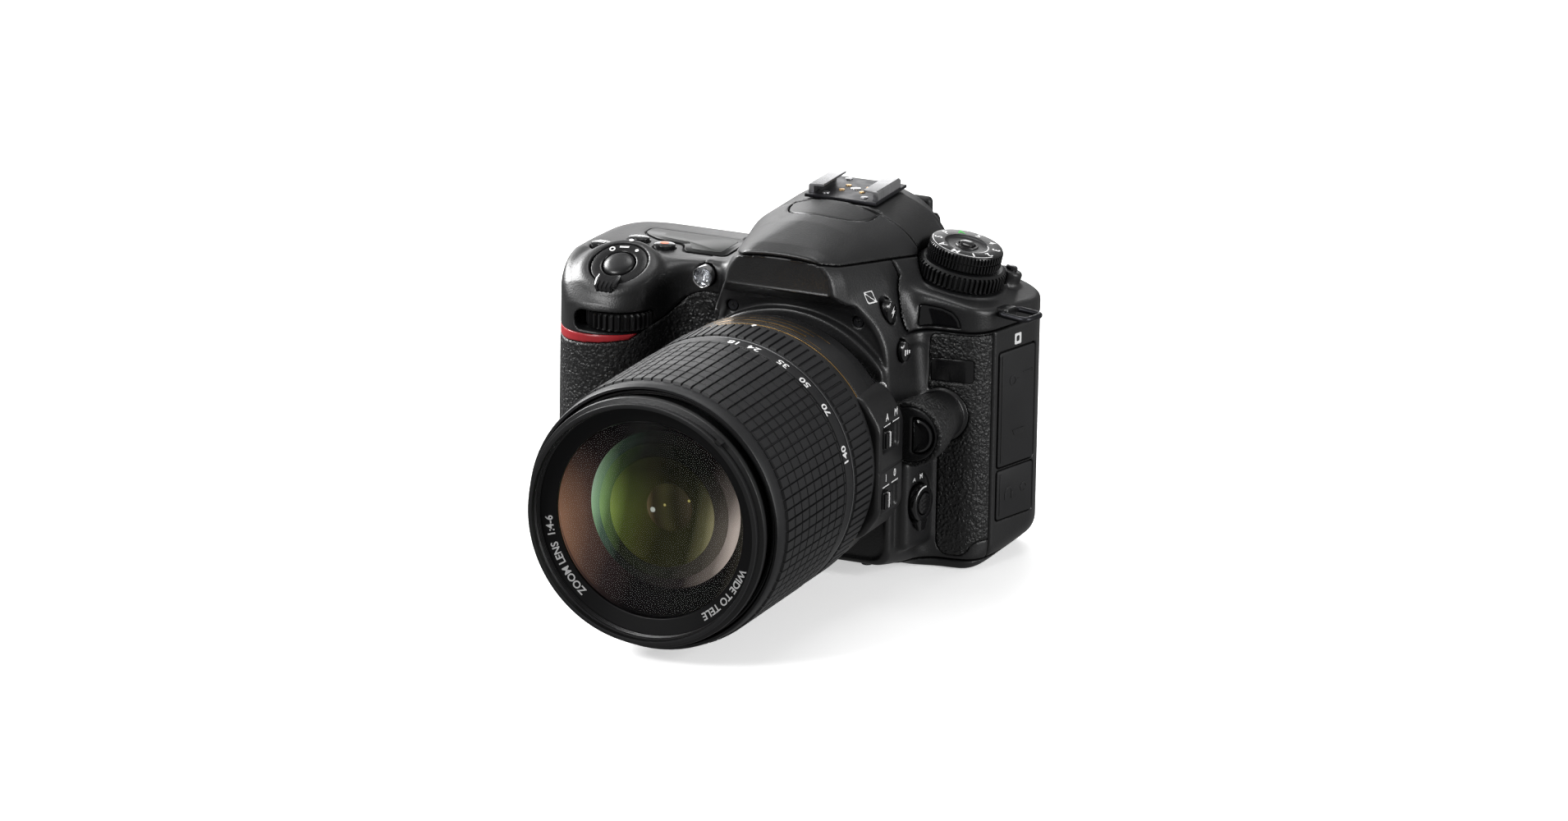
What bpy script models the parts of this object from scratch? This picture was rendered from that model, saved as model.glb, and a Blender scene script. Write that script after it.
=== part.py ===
"""Single lens reflex camera with a zoom lens, as separate pieces with real joints.

Working coordinates are millimetres about the lens axis (x = 0, to the right in the front view),
the image sensor's plane (y = 0, positive to the rear) and the base the camera stands on (z = 0).
world() moves them to the part's own frame in metres, with the origin under the middle of its box.
"""
import math

import bpy
import bmesh
from mathutils import Matrix, Vector

MM = 0.001
GAP = 0.3                      # clearance between neighbouring pieces

# The part's frame: where the lens axis and the sensor plane lie from the middle of the box
LENS_AXIS_X = 8.95
SENSOR_PLANE_Y = 61.0

# Camera body
BODY_TOP = 81.5
BASE_THICKNESS = 2.6
REAR_FACE = 13.5
COVER_SPLIT_Y = -16.5          # seam between the front and the rear cover
COVER_SPLIT_Z = 70.6           # seam under the top cover
GRIP_CAP_Z = 61.5              # seam over the grip rubber
MOUNT_BOX_FRONT = -42.0
NOSE_FRONT = -51.0             # front of the flash head, over the lens
SHOE_TOP = 104.0

# Lens
AXIS_Z = 41.0
FLANGE_Y = -46.5               # lens mount face, 46.5 mm before the sensor
LENS_FRONT_Y = -143.5          # 97 mm of lens when retracted
ZOOM_FRONT_Y = -135.85
ZOOM_REAR_Y = -84.8
FOCUS_REAR_Y = -69.4
ZOOM_RADIUS = 39.0
FOCUS_RADIUS = 38.9
BARREL_RADIUS = 38.2
CORE_OUTER = 36.5
CORE_INNER = 35.8
MIDDLE_OUTER = 35.5
MIDDLE_INNER = 34.95
FRONT_TUBE_OUTER = 34.6
FRONT_RING_RADIUS = 34.8
ROUND = 36                     # sides of the big rings

# Axes that aren't square to the frame
SHUTTER_POINT = (-58.9, -31.6, 79.6)
SHUTTER_TILT = math.radians(29)
DIAL_POINT = (36.4, -5.0, 82.0)
DIAL_LEAN = math.radians(12)
MODE_DIAL_RADIUS = 10.8
RELEASE_DIAL_RADIUS = 12.9
SIDE_FRONT = (52.0, -18.0)     # the right side slopes back from here
SIDE_REAR = (58.0, 3.4)

# Places shared by a piece, its pocket and its joint
SKIN_DEPTH = 1.2
GRIP_SKIN_LOW = 4.0
GRIP_SKIN_HIGH = 60.6
PANEL_HIGH = 69.6
CHEEK_TURN = math.radians(17)
DECK_BUTTONS = {
    "exposure_button": (-69.5, -20.5), "iso_button": (-62.3, -10.4), "movie_button": (-52.7, -13.6),
}
REAR_BUTTONS = {"menu_button": (50.6, 57.0), "playback_button": (50.6, 66.0)}
SWITCH_HEIGHTS = {"focus_switch": 49.4, "vibration_switch": 31.4}
FLASH_BUTTON = (27.6, -34.5, 77.9)
BRACKET_BUTTON = (32.0, -34.0, 66.5)
RELEASE_BUTTON = (41.0, -45.4, 45.7)
RELEASE_BUTTON_AXIS = (41.0, 0, 45.7)
SELECTOR_POINT = (36.4, -31.2, 21.3)   # on the housing's flank, which faces right
SELECTOR_TURN = math.radians(8)
SELECTOR_PAD_AXIS = (-43.5, 0, 44.0)
LAMP_AXIS = (-35.0, 0, 77.6)
DIOPTER_AXIS = (0, 15.0, 90.0)
TRIPOD_AXIS = (0, -3.0, 0)
FRONT_DIAL = (-56.8, -35.0, 0)
REAR_DIAL = (-62.0, 7.5, 0)
MONITOR_BOX = (-33.0, 45.0, 10.0, 63.0)
ARM_HINGE = (12.4, 8.6)
MONITOR_HINGE = (14.2, 61.5)
MIRROR_HINGE = (-13.2, 51.4)
MIRROR_LENGTH = 26.0
FLASH_HINGE = (-10.8, 98.2)
BATTERY_HINGE = (-51.5, -20.0, 1.3)
CARD_HINGE = (-76.0, 2.0)
DOOR_HINGE = (0.19, 0.3)

# Colours: red, green, blue, then roughness and metallic value
FINISHES = {
    "plastic": (0.030, 0.030, 0.032, 0.55, 0.0),
    "rubber": (0.018, 0.018, 0.019, 0.75, 0.0),
    "steel": (0.45, 0.45, 0.47, 0.30, 1.0),
    "dark_metal": (0.10, 0.10, 0.11, 0.40, 1.0),
    "glass": (0.10, 0.16, 0.12, 0.05, 0.0),
    "display": (0.05, 0.055, 0.05, 0.15, 0.0),
    "board": (0.02, 0.12, 0.05, 0.60, 0.0),
    "mirror": (0.85, 0.86, 0.88, 0.04, 1.0),
}

BODY_OUTLINE = [
    (-26, -23), (-40, -24.5), (-45.5, -28.5), (-48.5, -38), (-54, -44.5), (-62, -46.5),
    (-70, -43.5), (-75.5, -36.5), (-77.5, -27), (-77.3, -12), (-76, 3), (-72, 10.5), (-64, REAR_FACE),
    (50, REAR_FACE), (55.5, 10.5), SIDE_REAR, SIDE_FRONT, (48, -22.5), (33, -24),
]


def world(x, y, z):
    return Vector(((x + LENS_AXIS_X) * MM, (y + SENSOR_PLANE_Y) * MM, z * MM))


# ---------------------------------------------------------------- building blocks

def clear_scene():
    for obj in list(bpy.data.objects):
        bpy.data.objects.remove(obj, do_unlink=True)


def make_solid(vertices, faces):
    mesh = bpy.data.meshes.new("solid")
    bm = bmesh.new()
    made = [bm.verts.new(world(*v)) for v in vertices]
    for face in faces:
        bm.faces.new([made[i] for i in face])
    bmesh.ops.recalc_face_normals(bm, faces=bm.faces)
    bmesh.ops.triangulate(bm, faces=bm.faces)
    bm.to_mesh(mesh)
    bm.free()
    obj = bpy.data.objects.new("solid", mesh)
    bpy.context.scene.collection.objects.link(obj)
    return obj


def loft(rings):
    """A solid through rings of equally many points, capped at both ends."""
    count = len(rings[0])
    vertices = [p for ring in rings for p in ring]
    faces = [list(range(count)), list(range(len(vertices) - count, len(vertices)))]
    for r in range(len(rings) - 1):
        for i in range(count):
            j = (i + 1) % count
            faces.append([r * count + i, r * count + j, (r + 1) * count + j, (r + 1) * count + i])
    return make_solid(vertices, faces)


def prism(outline, low, high, along="z"):
    """An outline carried along one axis; its points are the other two coordinates in order."""
    place = {
        "x": lambda a, b, t: (t, a, b),
        "y": lambda a, b, t: (a, t, b),
        "z": lambda a, b, t: (a, b, t),
    }[along]
    return loft([[place(a, b, t) for a, b in outline] for t in (low, high)])


def box(x0, x1, y0, y1, z0, z1):
    return prism([(x0, y0), (x1, y0), (x1, y1), (x0, y1)], z0, z1)


def circle(radius, sides, start=0.0):
    turn = math.tau / sides
    angles = [start + i * turn for i in range(sides)]
    return [(radius * math.cos(a), radius * math.sin(a)) for a in angles]


def turned(profile, centre, along, sides):
    """A turned solid: (radius, distance) points from axis to axis, or a closed loop for a tube."""
    place = {
        "x": lambda a, b, t: (centre[0] + t, centre[1] + a, centre[2] + b),
        "y": lambda a, b, t: (centre[0] + a, centre[1] + t, centre[2] + b),
        "z": lambda a, b, t: (centre[0] + a, centre[1] + b, centre[2] + t),
    }[along]
    solid_core = profile[0][0] == 0.0
    rings = [[place(a, b, t) for a, b in circle(r, sides)] for r, t in profile if r > 0.0]
    vertices = [p for ring in rings for p in ring]
    faces = []
    pairs = list(zip(range(len(rings)), range(1, len(rings))))
    if not solid_core:
        pairs.append((len(rings) - 1, 0))
    for first, second in pairs:
        for i in range(sides):
            j = (i + 1) % sides
            a = first * sides
            b = second * sides
            faces.append([a + i, a + j, b + j, b + i])
    if solid_core:
        faces.append(list(range(sides)))
        faces.append(list(range(len(vertices) - sides, len(vertices))))
    return make_solid(vertices, faces)


def disc(radius, low, high, centre, along, sides):
    return turned([(0.0, low), (radius, low), (radius, high), (0.0, high)], centre, along, sides)


def tube(outer, inner, low, high, centre, along, sides):
    return turned([(outer, low), (outer, high), (inner, high), (inner, low)], centre, along, sides)


def ribbed_ring(valley, crest, count):
    """Radii round a knurled edge, two points to a rib."""
    points = []
    for i in range(count):
        for share, radius in ((0.0, crest), (0.5, crest), (0.55, valley), (0.95, valley)):
            angle = math.tau * (i + share) / count
            points.append((radius * math.cos(angle), radius * math.sin(angle)))
    return points


def turn_about(obj, point, axis, angle):
    centre = world(*point)
    turn = Matrix.Rotation(angle, 4, Vector(axis))
    matrix = Matrix.Translation(centre) @ turn @ Matrix.Translation(-centre)
    obj.data.transform(matrix)
    return obj


def combine(target, tool, operation):
    modifier = target.modifiers.new("combine", "BOOLEAN")
    modifier.operation = operation
    modifier.solver = "EXACT"
    modifier.object = tool
    evaluated = target.evaluated_get(bpy.context.evaluated_depsgraph_get())
    mesh = bpy.data.meshes.new_from_object(evaluated)
    target.modifiers.clear()
    target.data = mesh
    bpy.data.objects.remove(tool, do_unlink=True)
    return target


def cut(target, *tools):
    for tool in tools:
        combine(target, tool, "DIFFERENCE")
    return target


def join(target, *tools):
    for tool in tools:
        combine(target, tool, "UNION")
    return target


def keep(target, tool):
    return combine(target, tool, "INTERSECT")


def duplicate(obj):
    twin = obj.copy()
    twin.data = obj.data.copy()
    bpy.context.scene.collection.objects.link(twin)
    return twin


def merge_flat_faces(mesh):
    """Join the triangles that lie in one plane, so a flat face is one face."""
    bm = bmesh.new()
    bm.from_mesh(mesh)
    bmesh.ops.dissolve_limit(bm, angle_limit=math.radians(0.2), verts=bm.verts, edges=bm.edges)
    bm.to_mesh(mesh)
    bm.free()


def name_piece(obj, name, finish, pivot=(0.0, 0.0, 0.0)):
    """Give a finished solid its name, its material and an origin on its joint's axis."""
    red, green, blue, roughness, metallic = FINISHES[finish]
    material = bpy.data.materials.new(name)
    material.use_nodes = True
    shader = material.node_tree.nodes["Principled BSDF"]
    shader.inputs["Base Color"].default_value = (red, green, blue, 1.0)
    shader.inputs["Roughness"].default_value = roughness
    shader.inputs["Metallic"].default_value = metallic
    obj.data.materials.clear()
    obj.data.materials.append(material)
    merge_flat_faces(obj.data)
    origin = world(*pivot)
    obj.data.transform(Matrix.Translation(-origin))
    obj.location = origin
    obj.data.shade_smooth()
    obj.data.set_sharp_from_angle(angle=math.radians(35))
    obj.name = name
    obj.data.name = name
    return obj


# ---------------------------------------------------------------- the body's outer form

def shrink(outline, amount):
    """An outline moved inwards by amount, corner by corner."""
    result = []
    count = len(outline)
    for i in range(count):
        before = Vector(outline[i - 1])
        here = Vector(outline[i])
        after = Vector(outline[(i + 1) % count])
        normals = []
        for a, b in ((before, here), (here, after)):
            edge = (b - a).normalized()
            normals.append(Vector((edge.y, -edge.x)))
        mean = (normals[0] + normals[1]).normalized()
        reach = amount / max(0.4, mean.dot(normals[0]))
        result.append(tuple(here + mean * reach))
    return result


def body_block(inset, low, high):
    outline = shrink(BODY_OUTLINE, inset) if inset else BODY_OUTLINE
    return prism(outline, low, high)


def mount_box():
    """The block round the lens mount, its sides drawn in towards the front."""
    behind = [(-27, 0), (36, 0), (36, 56), (32, 79), (24, 86), (-20, 86), (-26, 79), (-29, 71)]
    front = [(-24.5, 4), (31.5, 4), (32.4, 56), (26.6, 75), (22, 82), (-18, 82), (-21.5, 78), (-25, 71)]
    middle = [(x, max(0, z - 4) if z < 10 else z) for x, z in front]
    return loft([[(x, -20, z) for x, z in behind], [(x, -37, z) for x, z in middle],
                 [(x, MOUNT_BOX_FRONT, z) for x, z in front]])


def hump_section(y, half_foot, foot, half_shoulder, shoulder, half_top, top):
    return [(-half_foot, y, foot), (-half_shoulder, y, shoulder), (-half_top, y, top),
            (half_top, y, top), (half_shoulder, y, shoulder), (half_foot, y, foot)]


def hump():
    """The prism and flash housing, from the overhanging nose to the eyepiece."""
    return loft([
        hump_section(NOSE_FRONT, 16.9, 84.8, 15.6, 90.5, 11.5, 95.0),
        hump_section(-46, 19.5, 81.5, 18.0, 90.5, 11.5, 96.4),
        hump_section(-30, 26.0, 79.0, 22.0, 91.5, 12.0, 98.8),
        hump_section(-12, 30.0, 79.0, 25.5, 93.0, 13.0, 100.6),
        hump_section(10, 30.0, 79.0, 25.5, 93.0, 14.0, 100.6),
        hump_section(17.5, 24.0, 79.0, 21.5, 92.0, 14.0, 99.4),
    ])


def right_shoulder_cutter():
    return prism([(34, 90), (34, 81.4), (60, 75.6), (60, 90)], -60, 30, "y")


def grip_slope_cutter():
    """The grip's top falls away forwards round the shutter release."""
    return prism([(-23, 90), (-24.5, 82), (-39, 74.9), (-44, 70.8), (-46.6, 66), (-60, 62), (-60, 90)],
                 -90, -43.0, "x")


def side_foot_cutter():
    return prism([(49, -1), (60, 9), (60, -1)], -60, 30, "y")


def release_lump():
    """The round boss that carries the lens release button."""
    return disc(9.5, MOUNT_BOX_FRONT - 3.0, -20.0, (39.0, 0, 45.8), "y", 20)


def selector_housing():
    """The upright housing of the focus mode selector, its flank square to the selector's axis."""
    return prism([(30, -20), (30, -38.4), (35.4, -38.4), (37.6, -22), (37.6, -20)], 8.0, 35.5)


def body_form():
    """The whole outside of the body in one solid, before it is parted into covers."""
    form = body_block(0.0, 0.0, BODY_TOP)
    cut(form, right_shoulder_cutter(), grip_slope_cutter(), side_foot_cutter())
    return join(form, mount_box(), hump(), release_lump(), selector_housing())


def half_space(name):
    """Boxes that part the body form into its covers."""
    far = 120
    if name == "top":
        return join(box(-far, far, -far, far, COVER_SPLIT_Z + GAP, far),
                    box(-far, -44.0, -far, COVER_SPLIT_Y, GRIP_CAP_Z + GAP, COVER_SPLIT_Z + 5))
    if name == "front":
        lower = box(-far, far, -far, COVER_SPLIT_Y, BASE_THICKNESS + GAP, COVER_SPLIT_Z)
        return cut(lower, box(-far, -44.0 + GAP, -far, COVER_SPLIT_Y + 1, GRIP_CAP_Z, far))
    return box(-far, far, COVER_SPLIT_Y + GAP, far, BASE_THICKNESS + GAP, COVER_SPLIT_Z)


def body_hollow():
    """The room inside the covers."""
    hollow = box(-66, 48.5, -19.0, REAR_FACE - 3.5, BASE_THICKNESS - 1, 76.5)
    grip = prism([(-50, 1), (-50, -38), (-55, -42), (-69, -40), (-72.5, -30), (-72.5, 1)],
                 BASE_THICKNESS - 1, 60.0)
    chamber = box(-23.0, 23.0, -39.5, -10, 12.0, 72.5)
    prism_room = loft([[(-19, -36, 70), (19, -36, 70), (12, -36, 84), (-12, -36, 84)],
                       [(-24, 11, 70), (24, 11, 70), (14, 11, 86.5), (-14, 11, 86.5)]])
    return join(hollow, grip, chamber, prism_room)


# ---------------------------------------------------------------- pockets, shared by a cover and its piece

def tilted(obj):
    """Lean a piece made upright at the shutter release forwards with the grip's top."""
    return turn_about(obj, SHUTTER_POINT, (1, 0, 0), SHUTTER_TILT)


def leaning(obj):
    """Lean a piece made upright at the mode dial outwards with the right shoulder."""
    return turn_about(obj, DIAL_POINT, (0, 1, 0), DIAL_LEAN)


def side_point(share, out):
    """A point on the sloping right side: its share of the way back, and how far it stands out."""
    front = Vector(SIDE_FRONT)
    rear = Vector(SIDE_REAR)
    along = (rear - front).normalized()
    point = front + (rear - front) * share + Vector((along.y, -along.x)) * out
    return tuple(point)


def side_slab(share_front, share_rear, inner, outer, low, high):
    outline = [side_point(share_front, inner), side_point(share_front, outer),
               side_point(share_rear, outer), side_point(share_rear, inner)]
    return prism(outline, low, high)


def skin(depth, margin, x0, x1, z0, z1):
    """A layer of the body's front surface, depth deep, between x0 and x1."""
    layer = body_block(-margin, z0 - margin, z1 + margin)
    cut(layer, body_block(depth + margin, z0 - 5, z1 + 5))
    return keep(layer, box(x0 - margin, x1 + margin, -60, COVER_SPLIT_Y - GAP + margin, z0 - 9, z1 + 9))


def grip_layer(margin):
    return skin(SKIN_DEPTH, margin, -90, -46.5, GRIP_SKIN_LOW, GRIP_SKIN_HIGH)


def panel_layer(margin):
    layer = skin(SKIN_DEPTH, margin, 37.2, 60, GRIP_SKIN_LOW, PANEL_HIGH)
    cut(layer, disc(10.1 - margin, -60, 0, (39.0, 0, 45.8), "y", 20))
    return cut(layer, box(30, 38.5 - margin, -60, 0, 0, 36.1 - margin))


def flash_room():
    return prism([(-60, 93.8), (-8.2, 87.9), (-8.2, 110), (-60, 110)], -60, 60, "x")


def display_outline():
    return [(-64, 3), (-64, -3), (-57.5, -7), (-48.5, -8.5), (-46, -15), (-33, -15), (-33, 3)]


def shutter_pocket():
    well = disc(8.9, -1.1, 9, SHUTTER_POINT, "z", 24)
    join(well, disc(5.1, -5.0, 3, SHUTTER_POINT, "z", 24))
    return tilted(well)


def dial_pocket():
    well = disc(RELEASE_DIAL_RADIUS + 0.4, -0.6, 30, DIAL_POINT, "z", 32)
    join(well, disc(3.8, -4.0, 3, DIAL_POINT, "z", 16))
    return leaning(well)


def front_dial_slot():
    slot = box(-66.8, -46.8, -60, -36, 62.8, 68.6)
    return join(slot, disc(11.2, 62.8, 68.6, FRONT_DIAL, "z", 24))


def rear_dial_slot():
    return disc(8.4, 64.2, 69.8, REAR_DIAL, "z", 24)


def monitor_pocket():
    x0, x1, z0, z1 = MONITOR_BOX
    return box(x0 - 0.6, x1 + 0.6, REAR_FACE - 2.3, 40, z0 - 2.6, z1 + 1.5)


def thumb_outline():
    return [(-70, 18), (-57, 18), (-55.5, 40), (-57.5, 58), (-68, 60), (-71, 40)]


def on_flank(obj):
    """Turn a piece made along x at the selector's point until it faces like the housing's flank."""
    return turn_about(obj, SELECTOR_POINT, (0, 0, 1), -SELECTOR_TURN)


def oval_button(centre, half_y, half_z, low, high):
    """An oval cap on the mount box's right cheek, facing right and a little forwards."""
    x, y, z = centre
    outline = [(y + half_y * a, z + half_z * b) for a, b in circle(1.0, 14)]
    return turn_about(prism(outline, x + low, x + high, "x"), centre, (0, 0, 1), -CHEEK_TURN)


# ---------------------------------------------------------------- covers

def front_cover(form):
    cover = keep(duplicate(form), half_space("front"))
    cut(cover, body_hollow())
    cut(cover, disc(26.3, -60, -30, (0, 0, AXIS_Z), "y", 32))
    cut(cover, disc(31.9, -60, MOUNT_BOX_FRONT + 0.25, (0, 0, AXIS_Z), "y", 32))
    cut(cover, panel_layer(GAP), grip_layer(GAP))
    cut(cover, disc(5.4, -60, RELEASE_BUTTON[1] + 4.0, RELEASE_BUTTON_AXIS, "y", 20))
    cut(cover, on_flank(disc(5.6, -2.8, 9, SELECTOR_POINT, "x", 20)))
    cut(cover, oval_button(BRACKET_BUTTON, 2.4, 3.2, -3.0, 9))
    return name_piece(cover, "front_cover", "plastic")


def top_cover(form):
    cover = keep(duplicate(form), half_space("top"))
    cut(cover, body_hollow())
    join(cover, leaning(disc(RELEASE_DIAL_RADIUS + 1.2, -3.0, -0.5, DIAL_POINT, "z", 36)))
    cut(cover, flash_room(), prism(shrink(display_outline(), GAP), BODY_TOP - 1.1, 99))
    cut(cover, box(-11.8, 11.8, -8.5, 14.3, 99.9, 110), front_dial_slot())
    for x, y in DECK_BUTTONS.values():
        cut(cover, disc(3.5, BODY_TOP - 3.4, 99, (x, y, 0), "z", 16))
    cut(cover, shutter_pocket(), dial_pocket())
    cut(cover, oval_button(FLASH_BUTTON, 2.4, 3.6, -3.0, 9))
    cut(cover, disc(3.3, -60, -20.5, LAMP_AXIS, "y", 16))
    cut(cover, box(-12, 12, 9, 30, 83.5, 94), disc(4.0, 17.9, 40, DIOPTER_AXIS, "x", 16))
    return name_piece(cover, "top_cover", "plastic")


def rear_cover(form):
    cover = keep(duplicate(form), half_space("rear"))
    cut(cover, body_hollow())
    cut(cover, monitor_pocket(), prism(shrink(thumb_outline(), GAP), REAR_FACE - 0.9, 40, "y"))
    cut(cover, side_slab(0.17, 0.95, -1.9, 9, 12.9, 28.1), side_slab(0.17, 0.95, -1.9, 9, 28.7, 63.6))
    cut(cover, box(-90, -75.0, -11.7, 2.3, 20.0, 62.0), box(-77, -60, -6, -3.5, 28, 54))
    cut(cover, rear_dial_slot(), disc(8.3, REAR_FACE - 1.4, 30, SELECTOR_PAD_AXIS, "y", 24))
    for x, z in REAR_BUTTONS.values():
        cut(cover, disc(3.0, REAR_FACE - 1.4, 30, (x, 0, z), "y", 14))
    return name_piece(cover, "rear_cover", "plastic")


def bottom_cover(form):
    cover = keep(duplicate(form), box(-120, 120, -120, 120, -5, BASE_THICKNESS))
    cut(cover, box(-72.3, -50.2, -37.3, -2.7, -5, 9), disc(5.1, -5, 9, TRIPOD_AXIS, "z", 24))
    return name_piece(cover, "bottom_cover", "plastic")


def grip_rubber():
    return name_piece(grip_layer(0.0), "grip_rubber", "rubber")


def front_panel_rubber():
    return name_piece(panel_layer(0.0), "front_panel_rubber", "rubber")


def thumb_rest_rubber():
    pad = prism(thumb_outline(), REAR_FACE - 0.6, REAR_FACE + 1.6, "y")
    return name_piece(pad, "thumb_rest_rubber", "rubber")


def eyecup():
    cup = loft([[(-16.5, 17.8, 80), (16.5, 17.8, 80), (16.5, 17.8, 96.5), (-16.5, 17.8, 96.5)],
                [(-17.3, 21.5, 79.5), (17.3, 21.5, 79.5), (17.3, 21.5, 97), (-17.3, 21.5, 97)]])
    cut(cup, box(-11, 11, 10, 30, 83.5, 94))
    return name_piece(cup, "eyecup", "rubber")


def top_display_window():
    window = prism(display_outline(), BODY_TOP - 0.8, BODY_TOP - 0.1)
    return name_piece(window, "top_display_window", "display")


def af_assist_lamp():
    return name_piece(disc(3.0, -26.6, -20.9, LAMP_AXIS, "y", 16), "af_assist_lamp", "glass")


def hot_shoe():
    """Accessory shoe: a channel with two lips that holds a foot 18.6 mm wide and 2 mm thick."""
    profile = [(-11.3, 100.2), (11.3, 100.2), (11.3, 101.25), (10.9, 101.25), (10.9, SHOE_TOP),
               (6.3, SHOE_TOP), (6.3, 103.3), (9.3, 103.3), (9.3, 101.25), (-9.3, 101.25), (-9.3, 103.3),
               (-6.3, 103.3), (-6.3, SHOE_TOP), (-10.9, SHOE_TOP), (-10.9, 101.25), (-11.3, 101.25)]
    shoe = prism(profile, -8.0, 14.0, "y")
    cut(shoe, box(-20, 20, -20, -6.0, 101.4, 120), box(-20, 20, 10.5, 40, 101.4, 120))
    return name_piece(shoe, "hot_shoe", "steel")


def tripod_socket():
    return name_piece(tube(4.8, 3.1, 0.1, 6.0, TRIPOD_AXIS, "z", 24), "tripod_socket", "steel")


def strap_loop(name, anchor, heading):
    """A flat wire loop that stands out of the body from its anchor point."""
    x, y, z = anchor
    loop = box(x, x + 11.4, y - 4.9, y + 4.9, z, z + 1.8)
    cut(loop, box(x + 1.8, x + 9.6, y - 3.2, y + 3.2, z - 1, z + 3))
    turn_about(loop, anchor, (0, 0, 1), heading)
    return name_piece(loop, name, "steel")


# ---------------------------------------------------------------- inside the body

def mirror_box():
    frame = box(-22, 22, -38.5, -12.0, 25, 57)
    cut(frame, box(-19, 19, -60, 0, 29, 53), box(-16, 16, -35, -15, 40, 70))
    return name_piece(frame, "mirror_box", "plastic")


def reflex_mirror():
    """The mirror hangs from its top rear edge at 45 degrees over the light path."""
    y, z = MIRROR_HINGE
    reach = MIRROR_LENGTH * math.sqrt(0.5)
    half = 0.42
    outline = [(y - half, z + half), (y + half, z - half),
               (y - reach + half, z - reach - half), (y - reach - half, z - reach + half)]
    return name_piece(prism(outline, -17, 17, "x"), "reflex_mirror", "mirror", (0, y, z))


def focusing_screen():
    return name_piece(box(-18, 18, -37, -13, 57.5, 58.7), "focusing_screen", "glass")


def pentaprism():
    """Roof prism: five sides from the side, and a roof edge along the top."""
    outline = [(-35, 59.2), (-10, 59.2), (-4, 66), (-8, 80), (-22, 84), (-33, 74)]
    block = prism(outline, -17, 17, "x")
    cut(block, prism([(5, 84.5), (18, 84.5), (18, 72)], -60, 20, "y"))
    cut(block, prism([(-5, 84.5), (-18, 84.5), (-18, 72)], -60, 20, "y"))
    return name_piece(block, "pentaprism", "glass")


def shutter_unit():
    unit = box(-22.5, 22.5, -11.5, -7.5, 24, 58)
    cut(unit, box(-12.5, 12.5, -20, -9.0, 33, 49))
    return name_piece(unit, "shutter_unit", "dark_metal")


def image_sensor():
    return name_piece(box(-16, 16, -3.0, 0.0, 29, 53), "image_sensor", "glass")


def main_board():
    return name_piece(box(-46, 44, 3.0, 4.4, 8, 66), "main_board", "board")


def battery():
    return name_piece(box(-70.5, -51.0, -35, 0, 4.0, 58.5), "battery", "plastic")


# ---------------------------------------------------------------- doors and monitor

def battery_door():
    door = box(-72, -51.0, -37, -3, 0.25, 2.35)
    return name_piece(door, "battery_door", "plastic", BATTERY_HINGE)


def card_door():
    outline = [(-77.2, -11.3), (-76.05, 1.9), (-75.3, 1.9), (-75.3, -11.3)]
    return name_piece(prism(outline, 20.4, 61.6), "card_door", "plastic", (*CARD_HINGE, 41))


def port_door(name, low, high):
    door = side_slab(0.19, 0.93, -1.6, 0.1, low, high)
    return name_piece(door, name, "rubber", (*side_point(*DOOR_HINGE), (low + high) / 2))


def monitor_arm():
    arm = box(-20, 32, 11.5, 12.9, 8.0, 60.0)
    cut(arm, box(-12, 24, 0, 30, 16, 52))
    return name_piece(arm, "monitor_arm", "dark_metal", (0, *ARM_HINGE))


def monitor():
    x0, x1, z0, z1 = MONITOR_BOX
    slab = box(x0, x1, 13.3, 18.8, z0, z1)
    cut(slab, box(x0 + 6, x1 - 6, 18.3, 30, z0 + 5, z1 - 4))
    return name_piece(slab, "monitor", "plastic", (0, *MONITOR_HINGE))


# ---------------------------------------------------------------- dials, switches and buttons

def deck_button(name):
    x, y = DECK_BUTTONS[name]
    cap = disc(3.2, BODY_TOP - 2.2, BODY_TOP + 0.9, (x, y, 0), "z", 16)
    return name_piece(cap, name, "plastic", (x, y, BODY_TOP))


def rear_button(name):
    x, z = REAR_BUTTONS[name]
    cap = disc(2.7, REAR_FACE - 0.4, REAR_FACE + 0.9, (x, 0, z), "y", 14)
    return name_piece(cap, name, "rubber", (x, REAR_FACE, z))


def shutter_button():
    cap = tilted(disc(4.7, -3.8, 1.3, SHUTTER_POINT, "z", 24))
    return name_piece(cap, "shutter_button", "plastic", SHUTTER_POINT)


def power_switch():
    """The collar round the shutter button, with its lever at the front."""
    x, y, z = SHUTTER_POINT
    collar = tube(8.5, 5.0, -0.8, 0.5, SHUTTER_POINT, "z", 28)
    join(collar, box(x - 2.3, x + 2.3, y - 11.2, y - 6.8, z + 0.35, z + 2.1))
    return name_piece(tilted(collar), "power_switch", "plastic", SHUTTER_POINT)


def knurled_dial(name, valley, crest, ribs, low, high, centre):
    x, y, z = centre
    outline = [(x + a, y + b) for a, b in ribbed_ring(valley, crest, ribs)]
    return name_piece(prism(outline, low, high), name, "rubber", (x, y, (low + high) / 2))


def mode_dial():
    wheel = tube(MODE_DIAL_RADIUS, 2.6, 5.2, 10.2, DIAL_POINT, "z", 32)
    join(wheel, tube(3.5, 2.6, -3.6, 5.7, DIAL_POINT, "z", 16))
    return name_piece(leaning(wheel), "mode_dial", "plastic", DIAL_POINT)


def mode_dial_lock():
    button = leaning(disc(2.3, 5.3, 10.8, DIAL_POINT, "z", 14))
    return name_piece(button, "mode_dial_lock", "plastic", DIAL_POINT)


def release_dial():
    ring = leaning(tube(RELEASE_DIAL_RADIUS, 3.8, -0.3, 4.8, DIAL_POINT, "z", 32))
    return name_piece(ring, "release_dial", "plastic", DIAL_POINT)


def flash_head():
    """The pop-up flash: the hump's front roof, hinged behind, with a bay for the flash tube."""
    head = keep(hump(), prism([(-60, 94.1), (-10.3, 88.3), (-10.3, 110), (-60, 110)], -60, 60, "x"))
    cut(head, box(-9, 9, -47, -14, 80, 95.0), dial_pocket())
    return name_piece(head, "flash_head", "plastic", (0, *FLASH_HINGE))


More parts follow.
